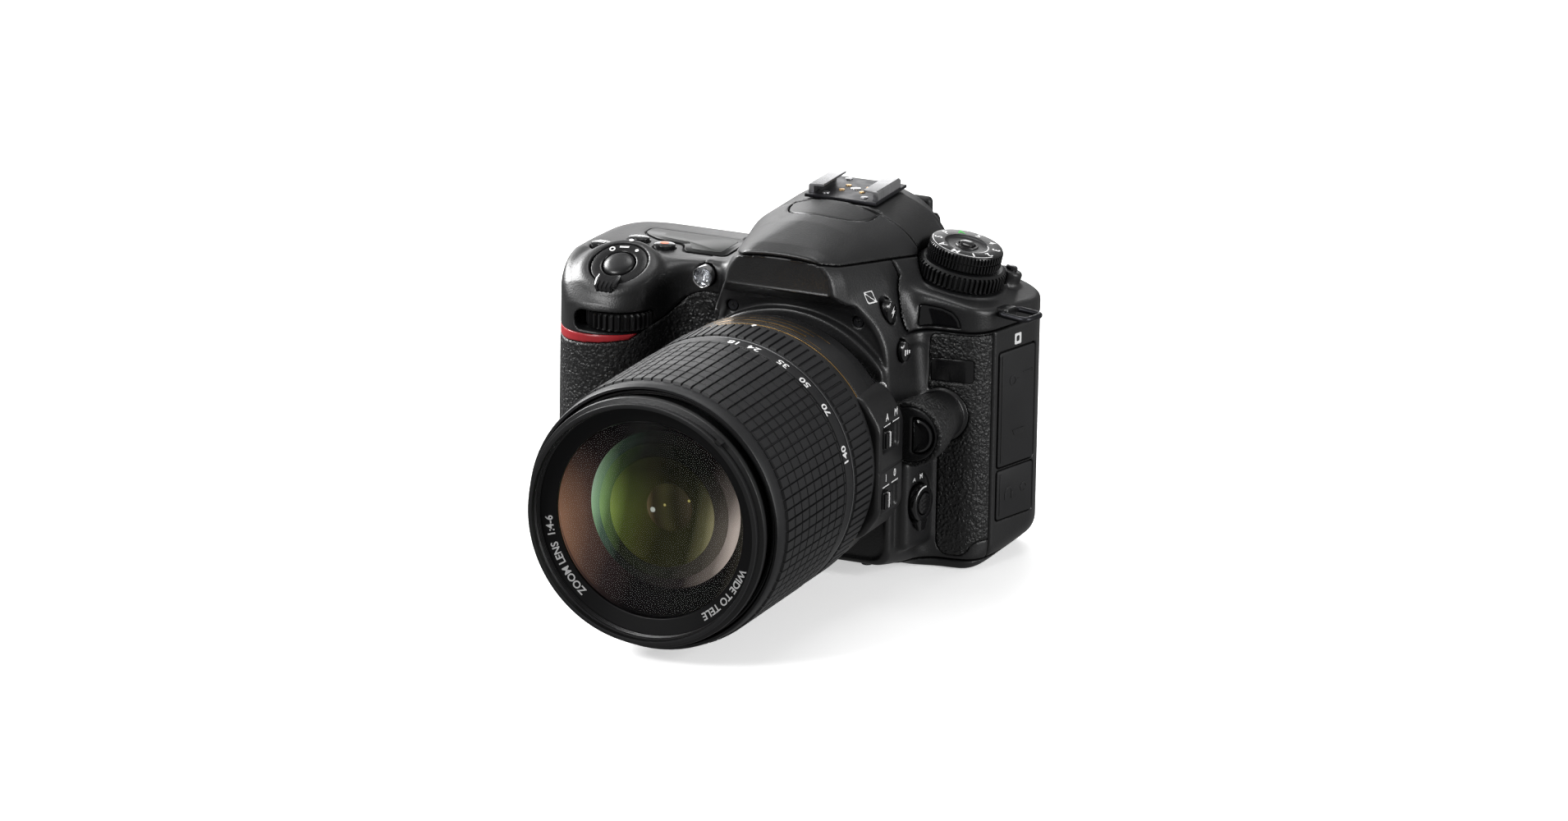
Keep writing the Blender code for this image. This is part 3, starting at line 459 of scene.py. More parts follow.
class Nodes:
    """Builds one material's nodes around its shader."""

    def __init__(self, name):
        self.material = bpy.data.materials.new(name)
        self.material.use_nodes = True
        self.tree = self.material.node_tree
        self.shader = self.tree.nodes["Principled BSDF"]
        self.place = self.add("ShaderNodeTexCoord").outputs["Object"]

    def add(self, kind, **settings):
        node = self.tree.nodes.new(kind)
        for key, value in settings.items():
            setattr(node, key, value)
        return node

    def link(self, output, socket):
        self.tree.links.new(output, socket)

    def stretched(self, scale, turn=(0, 0, 0)):
        mapping = self.add("ShaderNodeMapping")
        mapping.inputs["Scale"].default_value = scale
        mapping.inputs["Rotation"].default_value = turn
        self.link(self.place, mapping.inputs["Vector"])
        return mapping.outputs["Vector"]

    def noise(self, scale, detail=2.0, rough=0.5, vector=None):
        node = self.add("ShaderNodeTexNoise")
        node.inputs["Scale"].default_value = scale
        node.inputs["Detail"].default_value = detail
        node.inputs["Roughness"].default_value = rough
        self.link(vector or self.place, node.inputs["Vector"])
        return node.outputs["Fac"]

    def cells(self, scale, feature="DISTANCE_TO_EDGE", vector=None, jitter=1.0):
        node = self.add("ShaderNodeTexVoronoi", feature=feature)
        node.inputs["Scale"].default_value = scale
        node.inputs["Randomness"].default_value = jitter
        self.link(vector or self.place, node.inputs["Vector"])
        return node.outputs["Distance"]

    def ramp(self, value, stops):
        node = self.add("ShaderNodeValToRGB")
        elements = node.color_ramp.elements
        for i, (place, colour) in enumerate(stops):
            element = elements[i] if i < 2 else elements.new(place)
            element.position = place
            element.color = (*colour, 1.0) if len(colour) == 3 else colour
        self.link(value, node.inputs["Fac"])
        return node.outputs["Color"]

    def span(self, value, low, high, start=0.0, end=1.0):
        node = self.add("ShaderNodeMapRange")
        for socket, number in (("From Min", start), ("From Max", end), ("To Min", low), ("To Max", high)):
            node.inputs[socket].default_value = number
        self.link(value, node.inputs["Value"])
        return node.outputs["Result"]

    def bump(self, height, depth, normal=None, strength=1.0):
        node = self.add("ShaderNodeBump")
        node.inputs["Strength"].default_value = strength
        node.inputs["Distance"].default_value = depth * MM
        self.link(height, node.inputs["Height"])
        if normal:
            self.link(normal, node.inputs["Normal"])
        return node.outputs["Normal"]

    def finish(self, rough=None, metal=None, normal=None, colour=None, **constants):
        if colour is not None:
            if isinstance(colour, tuple):
                self.shader.inputs["Base Color"].default_value = (*colour, 1.0)
            else:
                self.link(colour, self.shader.inputs["Base Color"])
        if rough is not None:
            if isinstance(rough, float):
                self.shader.inputs["Roughness"].default_value = rough
            else:
                self.link(rough, self.shader.inputs["Roughness"])
        if metal is not None:
            self.shader.inputs["Metallic"].default_value = metal
        if normal:
            self.link(normal, self.shader.inputs["Normal"])
        for key, value in constants.items():
            self.shader.inputs[key.replace("_", " ")].default_value = value
        return self.material


def speckled_plastic(name, colour, low, high, grain=0.05, scale=1900.0, specular=0.5):
    """Moulded plastic with a sparkling grain, rubbed a little shinier in broad patches."""
    n = Nodes(name)
    grains = n.noise(scale, 2.0, 0.6)
    patches = n.noise(38.0, 4.0, 0.6)
    base = n.ramp(patches, [(0.3, tuple(c * 0.82 for c in colour)), (0.75, tuple(c * 1.2 for c in colour))])
    rough = n.span(patches, low, high, 0.3, 0.7)
    pits = n.span(n.cells(scale * 0.62, "F1"), 0.0, 1.0, 0.05, 0.7)
    normal = n.bump(pits, grain, n.bump(grains, grain * 1.3))
    return n.finish(rough, 0.0, normal, base, Specular_IOR_Level=specular)


def pebbled_rubber(name):
    """Leathery rubber: rounded pebbles of mixed sizes with creases between them, the creases painted darker
    as shade.
    """
    n = Nodes(name)
    warp = n.add("ShaderNodeVectorMath", operation="MULTIPLY_ADD")
    bend = n.add("ShaderNodeTexNoise")
    bend.inputs["Scale"].default_value = 520.0
    bend.inputs["Detail"].default_value = 2.0
    n.link(n.place, bend.inputs["Vector"])
    n.link(bend.outputs["Color"], warp.inputs[0])
    warp.inputs[1].default_value = (0.0014, 0.0014, 0.0014)
    n.link(n.place, warp.inputs[2])
    bent = warp.outputs["Vector"]
    domes = n.span(n.cells(980.0, "F1", bent), 1.0, 0.0, 0.1, 0.72)
    small = n.span(n.cells(2000.0, "F1", bent), 1.0, 0.0, 0.1, 0.8)
    fine = n.noise(3800.0, 2.0)
    normal = n.bump(fine, 0.02, n.bump(small, 0.07, n.bump(domes, 0.27)))
    # base colour is darker in the creases between pebbles: painted shade
    base = n.ramp(domes, [(0.0, (0.0022, 0.0022, 0.0024)), (0.6, (0.0075, 0.0076, 0.008))])
    rough = n.span(n.noise(60.0, 3.0), 0.36, 0.50, 0.3, 0.7)
    return n.finish(rough, 0.0, normal, base, Specular_IOR_Level=0.5)


def plain_rubber(name, colour, low, high):
    """Soft rubber with a dusty bloom and very fine tooth."""
    n = Nodes(name)
    bloom = n.noise(90.0, 5.0, 0.6)
    base = n.ramp(bloom, [(0.25, colour), (0.8, tuple(c * 1.5 for c in colour))])
    rough = n.span(bloom, low, high, 0.3, 0.7)
    return n.finish(rough, 0.0, n.bump(n.noise(3200.0, 2.0), 0.03), base, Specular_IOR_Level=0.4)


def glossy_plastic(name, colour, low=0.14, high=0.24):
    """Smooth button plastic with faint finger haze."""
    n = Nodes(name)
    haze = n.noise(240.0, 4.0, 0.6)
    base = n.ramp(haze, [(0.3, colour), (0.8, tuple(c * 1.25 for c in colour))])
    return n.finish(n.span(haze, low, high, 0.3, 0.7), 0.0, n.bump(n.noise(1400.0, 2.0), 0.008), base,
        Coat_Weight=0.25, Coat_Roughness=0.12)


def brushed_metal(name, colour, low, high, grain=(60.0, 4200.0, 60.0)):
    """Metal with straight brush lines and small tarnish clouds."""
    n = Nodes(name)
    lines = n.noise(1.0, 2.0, 0.6, n.stretched(grain))
    clouds = n.noise(160.0, 4.0, 0.6)
    base = n.ramp(clouds, [(0.25, tuple(c * 0.78 for c in colour)), (0.75, colour)])
    rough = n.span(lines, low, high, 0.25, 0.75)
    return n.finish(rough, 1.0, n.bump(lines, 0.015), base)


def paint(name, colour, rough=0.45):
    """Printed ink with slightly uneven coverage."""
    n = Nodes(name)
    cover = n.noise(900.0, 4.0, 0.6)
    base = n.ramp(cover, [(0.25, tuple(c * 0.86 for c in colour)), (0.6, colour)])
    return n.finish(n.span(cover, rough, rough + 0.15), 0.0, n.bump(cover, 0.006), base)


def clear_glass(name, tint, ior=1.45):
    """Polished glass with faint streaks in its tint."""
    n = Nodes(name)
    streaks = n.ramp(n.noise(55.0, 3.0), [(0.3, tuple(c * 0.97 for c in tint)), (0.7, tint)])
    return n.finish(0.0, 0.0, None, streaks, Transmission_Weight=1.0, IOR=ior)


def painted_reflection_glass(name, stops, turn, reach, top=1.0):
    """A glowing lens surface whose painted reflection runs across it in colour at an angle.

    `turn` is the direction of the painted colour in degrees, `reach` the radius it covers in millimetres, and
    `top` how much of it is left at the upper edge, which is painted shade."""
    n = Nodes(name)
    mapping = n.add("ShaderNodeMapping")
    mapping.inputs["Location"].default_value = (-AXIS_X / reach, 0.0, -AXIS_Z / reach)
    mapping.inputs["Scale"].default_value = (1 / (reach * MM), 0.0, 1 / (reach * MM))
    n.link(n.place, mapping.inputs["Vector"])

    def share_along(direction):
        along = n.add("ShaderNodeVectorMath", operation="DOT_PRODUCT")
        along.inputs[1].default_value = direction
        n.link(mapping.outputs["Vector"], along.inputs[0])
        return n.span(along.outputs["Value"], 0.0, 1.0, -1.0, 1.0)

    wobble = n.add("ShaderNodeMath", operation="MULTIPLY_ADD")
    n.link(n.noise(45.0, 2.0), wobble.inputs[0])
    wobble.inputs[1].default_value = 0.05
    n.link(share_along((math.cos(math.radians(turn)), 0.0, math.sin(math.radians(turn)))), wobble.inputs[2])
    # painted reflection colour, running across the surface
    tint = n.ramp(wobble.outputs["Value"], stops)
    # painted shade: the colour is dimmed towards the upper edge
    painted_top_shade = n.ramp(share_along((0.0, 0.0, 1.0)), [(0.45, (1, 1, 1)), (0.85, (top, top, top))])
    product = n.add("ShaderNodeVectorMath", operation="MULTIPLY")
    n.link(tint, product.inputs[0])
    n.link(painted_top_shade, product.inputs[1])
    # the painted reflection glows as emission over a black base
    n.link(product.outputs["Vector"], n.shader.inputs["Emission Color"])
    return n.finish(0.35, 0.0, None, BLACK, Emission_Strength=1.0, Specular_IOR_Level=0.0)


BLACK = (0.0008, 0.0008, 0.0008)
MAT = {"body": speckled_plastic("body_plastic", (0.0058, 0.0059, 0.0064), 0.37, 0.46, 0.020, 2700.0, 0.55),
    "grip": pebbled_rubber("pebbled_rubber"),
    "satin": speckled_plastic("satin_plastic", (0.0055, 0.0055, 0.006), 0.28, 0.38, 0.008, 2600.0),
    "lens": speckled_plastic("lens_plastic", (0.0055, 0.0055, 0.006), 0.34, 0.44, 0.014, 2600.0),
    "lens_gloss": speckled_plastic("lens_gloss", (0.004, 0.004, 0.0044), 0.20, 0.30, 0.005, 2600.0),
    "ring": plain_rubber("ring_rubber", (0.0070, 0.0071, 0.0078), 0.42, 0.54),
    "dial": plain_rubber("dial_rubber", (0.005, 0.005, 0.0054), 0.28, 0.40),
    "door": plain_rubber("door_rubber", (0.0080, 0.0081, 0.0088), 0.48, 0.60),
    "button": glossy_plastic("button_plastic", (0.005, 0.005, 0.0054)),
    "steel": brushed_metal("bare_steel", (0.50, 0.50, 0.51), 0.22, 0.42),
    "chrome": brushed_metal("polished_steel", (0.72, 0.72, 0.73), 0.10, 0.20, (400.0, 400.0, 400.0)),
    "dark": brushed_metal("dark_metal", (0.045, 0.045, 0.05), 0.32, 0.5, (300.0, 300.0, 300.0)),
    "gold": brushed_metal("gold_trim", (0.75, 0.48, 0.20), 0.22, 0.34, (300.0, 300.0, 300.0)),
    "white": paint("white_ink", (0.80, 0.80, 0.80)), "words": paint("soft_white_ink", (0.50, 0.50, 0.50)),
    "grey": paint("grey_ink", (0.10, 0.10, 0.105)), "green": paint("green_ink", (0.06, 0.50, 0.08)),
    "orange": paint("orange_dot", (0.85, 0.12, 0.02), 0.25),
    "red": paint("red_trim", (0.36, 0.016, 0.022), 0.30),
    "display": speckled_plastic("display_cover", (0.006, 0.0062, 0.0062), 0.26, 0.34, 0.002, 2600.0, 0.16),
    "screen": glossy_plastic("screen_cover", (0.003, 0.003, 0.004), 0.03, 0.07),
    "window": glossy_plastic("dark_window", (0.002, 0.002, 0.0024), 0.05, 0.10),
    "clear": clear_glass("clear_lens", (0.95, 0.97, 1.0)),
    "front": clear_glass("coated_front", (0.97, 0.98, 0.96), 1.12),
    "board": glossy_plastic("circuit_board", (0.01, 0.07, 0.03), 0.3, 0.4),
    "mirror": brushed_metal("mirror_coating", (0.85, 0.86, 0.88), 0.02, 0.05, (90.0, 90.0, 90.0)),
    "void": plain_rubber("baffle_black", (0.001, 0.001, 0.001), 0.6, 0.8),
    "lcd": speckled_plastic("display_field", (0.014, 0.0155, 0.014), 0.30, 0.40, 0.002, 2600.0, 0.16),
    # cell, rim, coat, deep and pupil glow with painted reflections of the inner lens elements; glint and
    # spark are painted glints
    "cell": painted_reflection_glass("front_cell_painted_reflection", [(0.0, (0.26, 0.135, 0.085)), (0.055, (0.15, 0.078, 0.05)),
    (0.12, (0.060, 0.034, 0.027)), (0.20, (0.018, 0.012, 0.012)), (0.34, (0.0035, 0.0030, 0.0035)),
    (0.82, (0.003, 0.003, 0.003)), (0.95, (0.020, 0.018, 0.014)), (1.0, (0.060, 0.048, 0.032))], 6, 28.4,
    0.25), "rim": painted_reflection_glass("second_rim_painted_reflection",
    [(0.0, (0.40, 0.56, 0.42)), (0.07, (0.22, 0.36, 0.21)), (0.16, (0.050, 0.085, 0.060)),
    (0.3, (0.006, 0.007, 0.006)), (0.76, (0.012, 0.010, 0.010)), (0.92, (0.12, 0.100, 0.090)),
    (1.0, (0.40, 0.34, 0.31))], -14, 22.7, 0.2),
    "coat": painted_reflection_glass("second_glass_painted_reflection",
    [(0.0, (0.24, 0.40, 0.20)), (0.06, (0.18, 0.30, 0.11)), (0.14, (0.06, 0.10, 0.035)),
    (0.28, (0.008, 0.010, 0.005)), (0.7, (0.010, 0.010, 0.008)), (0.9, (0.034, 0.030, 0.025)),
    (1.0, (0.075, 0.064, 0.054))], -14, 19.6, 0.15),
    "deep": painted_reflection_glass("third_glass_painted_reflection",
    [(0.0, (0.20, 0.28, 0.07)), (0.07, (0.13, 0.18, 0.040)), (0.17, (0.040, 0.052, 0.010)),
    (0.34, (0.024, 0.024, 0.006)), (0.5, (0.009, 0.009, 0.003)), (0.8, (0.014, 0.014, 0.006)),
    (0.93, (0.070, 0.066, 0.032)), (1.0, (0.17, 0.155, 0.085))], -8, 15.9, 0.2),
    "pupil": painted_reflection_glass("pupil_painted_reflection", [(0.0, (0.12, 0.09, 0.045)), (0.07, (0.06, 0.045, 0.02)),
    (0.2, (0.014, 0.011, 0.005)), (0.45, (0.024, 0.022, 0.008)), (0.7, (0.010, 0.009, 0.004)),
    (1.0, (0.030, 0.024, 0.014))], 8, 6.8), "glint": painted_reflection_glass("bright_glint",
    [(0.0, (0.32, 0.34, 0.30)), (1.0, (0.55, 0.60, 0.58))], 30, 6.8),
    "spark": painted_reflection_glass("amber_glint", [(0.0, (0.22, 0.19, 0.05)), (1.0, (0.30, 0.27, 0.08))], 30, 6.8),
    "name_ring": speckled_plastic("name_ring_black", (0.0022, 0.0022, 0.0025), 0.34, 0.44, 0.004, 2600.0,
    0.18),}
LOOKS_OF_SLOTS = {"body_plastic": "body satin red", "pebbled_rubber": "grip door",
    "lens_plastic": "lens lens_gloss name_ring", "ring_rubber": "ring", "dial_rubber": "dial",
    "dark_metal": "dark void", "bare_steel": "steel chrome gold",
    "button_plastic": "button white words grey green orange", "display_cover": "display screen window lcd",
    "optical_glass": "clear front cell rim coat deep pupil glint spark", "circuit_board": "board",
    "mirror_coating": "mirror",}
SLOTS = {look: slot for slot, looks in LOOKS_OF_SLOTS.items() for look in looks.split()}


# ================================================================ pieces

def add_piece(name, points, faces, body, look, stands_for=None, sharp=32.0):
    """Make a piece of points in millimetres; it rides a body and may stand for CAD nodes."""
    mesh = bpy.data.meshes.new(name)
    mesh.from_pydata([tuple(p) for p in points], [], [tuple(f) for f in faces])
    return finish_piece(name, mesh, body, look, stands_for, sharp)


def finish_piece(name, mesh, body, look, stands_for=None, sharp=32.0):
    mesh.transform(Matrix.Translation(Vector((AXIS_X, SENSOR_Y, 0.0)) * MM) @ Matrix.Scale(MM, 4))
    mesh.materials.clear()
    mesh.materials.append(MAT[look])
    if sharp:
        mesh.shade_smooth()
        mesh.set_sharp_from_angle(angle=math.radians(sharp))
    obj = bpy.data.objects.new(name, mesh)
    bpy.context.scene.collection.objects.link(obj)
    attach(obj, body)
    for node in ([stands_for] if isinstance(stands_for, str) else stands_for or []):
        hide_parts(node)
    return obj


def moulded(name, grid, field, body, look, stands_for=None, share=0.4):
    """A piece from a distance field, thinned to a share of its faces where it is flat."""
    field = np.array(grid.full(field), np.float32)
    points, quads = surface(grid, field)
    mesh = bpy.data.meshes.new(name)
    mesh.vertices.add(len(points))
    mesh.vertices.foreach_set("co", points.astype(np.float32).ravel())
    mesh.loops.add(quads.size)
    mesh.loops.foreach_set("vertex_index", quads.astype(np.int32).ravel())
    mesh.polygons.add(len(quads))
    mesh.polygons.foreach_set("loop_start", (np.arange(len(quads)) * 4).astype(np.int32))
    mesh.update(calc_edges=True)
    if share < 1.0:
        temp = bpy.data.objects.new("temp", mesh)
        bpy.context.scene.collection.objects.link(temp)
        thin = temp.modifiers.new("thin", "DECIMATE")
        thin.ratio = share
        evaluated = temp.evaluated_get(bpy.context.evaluated_depsgraph_get())
        thinned = bpy.data.meshes.new_from_object(evaluated)
        bpy.data.objects.remove(temp, do_unlink=True)
        mesh = thinned
        mesh.name = name
    points = np.empty(len(mesh.vertices) * 3, np.float32)
    mesh.vertices.foreach_get("co", points)
    slopes = slope_at(grid, field, points.reshape(-1, 3))
    obj = finish_piece(name, mesh, body, look, stands_for, 0)
    mesh = obj.data
    mesh.shade_smooth()
    corners = np.empty(len(mesh.loops), np.int32)
    mesh.loops.foreach_get("vertex_index", corners)
    counts = np.empty(len(mesh.polygons), np.int32)
    mesh.polygons.foreach_get("loop_total", counts)
    flats = np.empty(len(mesh.polygons) * 3, np.float32)
    mesh.polygons.foreach_get("normal", flats)
    flats = np.repeat(flats.reshape(-1, 3), counts, axis=0)
    smooth = slopes[corners]
    near = (smooth * flats).sum(1) > math.cos(math.radians(36))
    mesh.normals_split_custom_set(np.where(near[:, None], smooth, flats).astype(np.float32))
    return obj


def basis(point, axis, up=(0, 0, 1)):
    """A frame at a point whose local z is the axis and whose local y leans towards up."""
    z = Vector(axis).normalized()
    x = Vector(up).cross(z)
    if x.length < 1e-6:
        x = Vector((0, 1, 0)).cross(z)
    x.normalize()
    y = z.cross(x)
    matrix = Matrix((x, y, z)).transposed().to_4x4()
    matrix.translation = Vector(point)
    return matrix


LENS = basis((0, 0, AXIS_Z), (0, 1, 0), (0, 0, 1))     # local z runs from the lens's front to its rear
SHUTTER = basis(SHUTTER_POINT, SHUTTER_AXIS, (0, 1, 0))
DIAL = basis(DIAL_POINT, DIAL_AXIS, (0, 1, 0))


def eased(profile, amount, closed=True):
    """A profile with small bevels at its corners, so that edges catch the light."""
    result = []
    count = len(profile)
    for i, here in enumerate(profile):
        if not closed and i in (0, count - 1):
            result.append(here)
            continue
        here = Vector(here)
        before, after = Vector(profile[i - 1]), Vector(profile[(i + 1) % count])
        if (before - here).length < 1e-6 or (after - here).length < 1e-6:
            continue
        turn = (before - here).angle(after - here)
        if here.x < 1e-6 or turn > math.radians(165):
            result.append(tuple(here))
            continue
        reach = min(amount, (before - here).length * 0.4, (after - here).length * 0.4)
        for share in (0.0, 0.5, 1.0):
            start = here + (before - here).normalized() * reach
            end = here + (after - here).normalized() * reach
            result.append(tuple(start * (1 - share) ** 2 + here * 2 * share * (1 - share) + end * share ** 2))
    return result


def lathe(profile, frame_at, sides=128, bevel=0.15, closed=True, wave=None):
    """Points and faces of a turned piece from (radius, along) stations.

    `wave` holds the angles of its points and a rule(angle, along, radius) that gives each one its radius."""
    stations = eased(profile, bevel, closed) if bevel else list(profile)
    angles = wave[0] if wave else [math.tau * i / sides for i in range(sides)]
    sides = len(angles)
    points = []
    rings = []
    for radius, along in stations:
        if radius < 1e-6:
            rings.append([len(points)] * sides)
            points.append(frame_at @ Vector((0, 0, along)))
            continue
        ring = []
        for angle in angles:
            r = wave[1](angle, along, radius) if wave else radius
            ring.append(len(points))
            points.append(frame_at @ Vector((r * math.cos(angle), r * math.sin(angle), along)))
        rings.append(ring)
    faces = []
    last = len(rings) if closed else len(rings) - 1
    for k in range(last):
        a, b = rings[k], rings[(k + 1) % len(rings)]
        for i in range(sides):
            j = (i + 1) % sides
            face = [a[i], a[j], b[j], b[i]]
            face = [v for n, v in enumerate(face) if v != face[n - 1]]
            if len(face) > 2:
                faces.append(face)
    return points, faces


def repair_normals(points, faces):
    bm = bmesh.new()
    made = [bm.verts.new(p) for p in points]
    for face in faces:
        bm.faces.new([made[i] for i in face])
    bmesh.ops.recalc_face_normals(bm, faces=bm.faces)
    mesh = bpy.data.meshes.new("piece")
    bm.to_mesh(mesh)
    bm.free()
    return mesh


def turned(name, profile, frame_at, body, look, stands_for=None, sides=128, bevel=0.15, closed=True,
        wave=None, sharp=32.0):
    mesh = repair_normals(*lathe(profile, frame_at, sides, bevel, closed, wave))
    mesh.name = name
    return finish_piece(name, mesh, body, look, stands_for, sharp)


def plate(name, outline, frame_at, low, high, body, look, stands_for=None, bevel=0.2, dome=0.0, sharp=32.0):
    """A plate of an outline in the frame's x and y, its upper rim bevelled and its top gently domed."""
    count = len(outline)
    centre = sum((Vector(p) for p in outline), Vector((0, 0))) / count
    levels = [(0.0, low), (0.0, high - bevel), (bevel * 0.3, high - bevel * 0.3), (bevel, high)]
    rings = []
    points = []
    for inset, level in levels:
        ring = []
        for x, y in outline:
            away = Vector((x, y)) - centre
            length = max(away.length, 1e-6)
            p = centre + away * max(0.0, (length - inset) / length)
            ring.append(len(points))
            points.append(frame_at @ Vector((p.x, p.y, level)))
        rings.append(ring)
    for share in ((0.75, 0.5, 0.25) if dome else ()):
        ring = []
        for x, y in outline:
            away = Vector((x, y)) - centre
            length = max(away.length, 1e-6)
            p = centre + away * ((length - bevel) / length) * share
            ring.append(len(points))
            points.append(frame_at @ Vector((p.x, p.y, high + dome * (1 - share * share))))
        rings.append(ring)
    faces = [rings[0][::-1], rings[-1]]
    for a, b in zip(rings, rings[1:]):
        for i in range(count):
            j = (i + 1) % count
            faces.append([a[i], a[j], b[j], b[i]])
    mesh = repair_normals(points, faces)
    mesh.name = name
    return finish_piece(name, mesh, body, look, stands_for, sharp)


def rect(x0, x1, y0, y1):
    return [(x0, y0), (x1, y0), (x1, y1), (x0, y1)]


def oval(half_x, half_y, sides=40):
    turns = [math.tau * i / sides for i in range(sides)]
    return [(half_x * math.cos(turn), half_y * math.sin(turn)) for turn in turns]


def knurled(count, valley, crest, low, high, inner, width=0.55, ramp=0.1, cap=math.inf):
    """Angles and a radius rule for teeth between two stations of a rim, outside the radius inner."""
    angles = []
    crests = set()
    for i in range(count):
        for share, up in ((0.0, False), (ramp, True), (width - ramp, True), (width, False)):
            angle = math.tau * (i + share) / count
            angles.append(angle)
            if up:
                crests.add(angle)

    def rule(angle, along, radius):
        if not (low < along < high and radius > inner):
            return min(radius, cap)
        if radius < valley or angle in crests:
            return radius
        return valley + (radius - crest) * 0.5
    return angles, rule


# ================================================================ covers

class Covers:
    """The fields that the covers share, over one grid."""

    def __init__(self):
        grid = self.grid = Grid((-79, -52.5, -0.5), (60, 19, 102), STEP)
        self.form = np.array(grid.full(body_form(grid)), np.float32)
        self.body = cut_from(self.form, body_cavity(grid))
        self.grip = grip_region(grid)
        self.panel = panel_region(grid)
        self.strip = np.maximum(polygon_field(grid, STRIP_EDGE, "xz"), grid.y - SPLIT_Y + SEAM_BACK)
        self.split = cover_split(grid)
        self.flash_room = np.maximum(flash_plane(grid, 0.0), grid.y - FLASH_REAR)

    def under(self, *regions):
        """The recess in the form under skins that cover the regions."""
        return np.maximum(-(self.form + SKIN_ROOM), np.minimum(*regions)) + 0.15

    def layer(self, outside, inside):
        """The part of the form between two depths."""
        return np.maximum(self.form + outside, -(self.form + inside))


def build_front_cover(c):
    grid = c.grid
    front = np.maximum(c.split, np.maximum(grid.y - SPLIT_Y, BASE_THICKNESS - grid.z)) + GAP
    field = cut_from(smooth_max(c.body, front, 0.8), c.under(c.grip, c.panel), edge=POCKET_EDGE)
    release_x, release_z = LENS_RELEASE
    field = cut_from(
        field, c.flash_room,
        np.maximum(rod_field(grid, (release_x, 0, release_z), (0, 1, 0), 5.35, -60, -41.0), 39.4 - grid.x),
        cheek_rod(grid, SELECTOR_POINT, 5.7, 5.7, -2.7, 9, SELECTOR_TURN),
        cheek_rod(grid, (*SELECTOR_POINT[:2], 22.0), 5.9, 8.2, -0.7, 9, SELECTOR_TURN),
        cheek_rod(grid, BRACKET_BUTTON, 2.6, 3.4, -3.3, 9),
        cheek_rod(grid, FLASH_BUTTON, 2.6, 3.8, -3.3, 9),
        *(rod_field(grid, (x, 0, z), (0, 1, 0), 1.8, -60, -40.4) for x, z in FRONT_SCREWS),
        edge=POCKET_EDGE)
    field = smooth_max(field, -name_plate(grid), 0.25)
    moulded("shell_front", grid, field, "camera_body", "body", "front_cover")
    sheet = c.layer(-0.12, 1.3)
    moulded("grip_skin", grid, smooth_max(c.grip, sheet, 0.9), "camera_body", "grip", "grip_rubber")
    strip = smooth_max(c.strip, c.layer(0.02, 1.2), 0.4)
    moulded("accent_strip", grid, strip, "camera_body", "red", share=0.8)
    badge = box_field(grid, 35.9, 48.2, -60, 0, 55.8, 62.4, 0.8)
    leather = smooth_max(np.maximum(c.panel, -badge), sheet, 0.9)
    moulded("panel_skin", grid, leather, "camera_body", "grip", "front_panel_rubber")
    moulded("panel_plate", grid, np.maximum(c.layer(0.3, 1.35), badge - 0.2), "camera_body", "lens_gloss")


def build_top_cover(c):
    grid = c.grid
    display = np.maximum(polygon_field(grid, display_outline(-0.35)), BODY_TOP - 1.1 - grid.z)
    display_rim = np.maximum(polygon_field(grid, display_outline(-1.6)), BODY_TOP - 0.35 - grid.z)
    wheel_slot = np.minimum(box_field(grid, -67.2, -49.4, -60, -38, 62.8, 68.6, 2.6),
        rod_field(grid, (*SUB_WHEEL, 0), (0, 0, 1), 10.1, 62.8, 68.6))
    seat = rod_field(grid, DIAL_POINT, DIAL_AXIS, 14.1, -3.0, -0.5, 0.8)
    pad = rod_field(grid, LOCK_PIN_POINT, LOCK_PIN_AXIS, 3.6, -3.0, 1.6, 0.9)
    top = smooth_min(smooth_max(c.body, GAP - c.split, 0.8), seat, 0.5)
    top = smooth_min(top, pad, 1.5)
    top = cut_from(top, c.under(c.grip, c.strip), edge=POCKET_EDGE)
    flash_swing = box_field(grid, -13.5, 13.5, -12.0, -8.8, 97.6, 110)
    shoe_bed = box_field(grid, -11.8, 11.8, -8.5, 14.3, 99.9, 110)
    eyepiece = box_field(grid, -12, 12, 9, 30, 83.5, 94, 0.5)
    field = cut_from(
        top, c.flash_room, display, display_rim, wheel_slot, flash_swing, shoe_bed,
        rod_field(grid, SHUTTER_POINT, SHUTTER_AXIS, 8.75, -1.0, 12),
        rod_field(grid, SHUTTER_POINT, SHUTTER_AXIS, 5.1, -5.0, 3),
        dial_pocket(grid),
        rod_field(grid, DIAL_POINT, DIAL_AXIS, 3.8, -4.0, 3),
        rod_field(grid, FOCUS_LAMP, (0, 1, 0), 3.3, -60, -20.5),
        eyepiece,
        rod_field(grid, (0, *DIOPTER_POINT[1:]), (1, 0, 0), 4.0, 17.9, 40),
        np.maximum(window_field(grid, 0.1), -(c.form + 1.5)),
        rod_field(grid, (29.6, 0, 74.6), (0.95, -0.3, 0), 0.45, 5, 60),
        *(rod_field(grid, (x, y, 0), (0, 0, 1), 3.5, BODY_TOP - 3.4, 99) for x, y in TOP_BUTTONS.values()),
        edge=POCKET_EDGE)
    moulded("shell_top", grid, field, "camera_body", "body", "top_cover")
    window = smooth_max(c.layer(0.1, 1.7), window_field(grid, 0.05), 0.6)
    moulded("infrared_window", grid, window, "camera_body", "window", share=0.8)


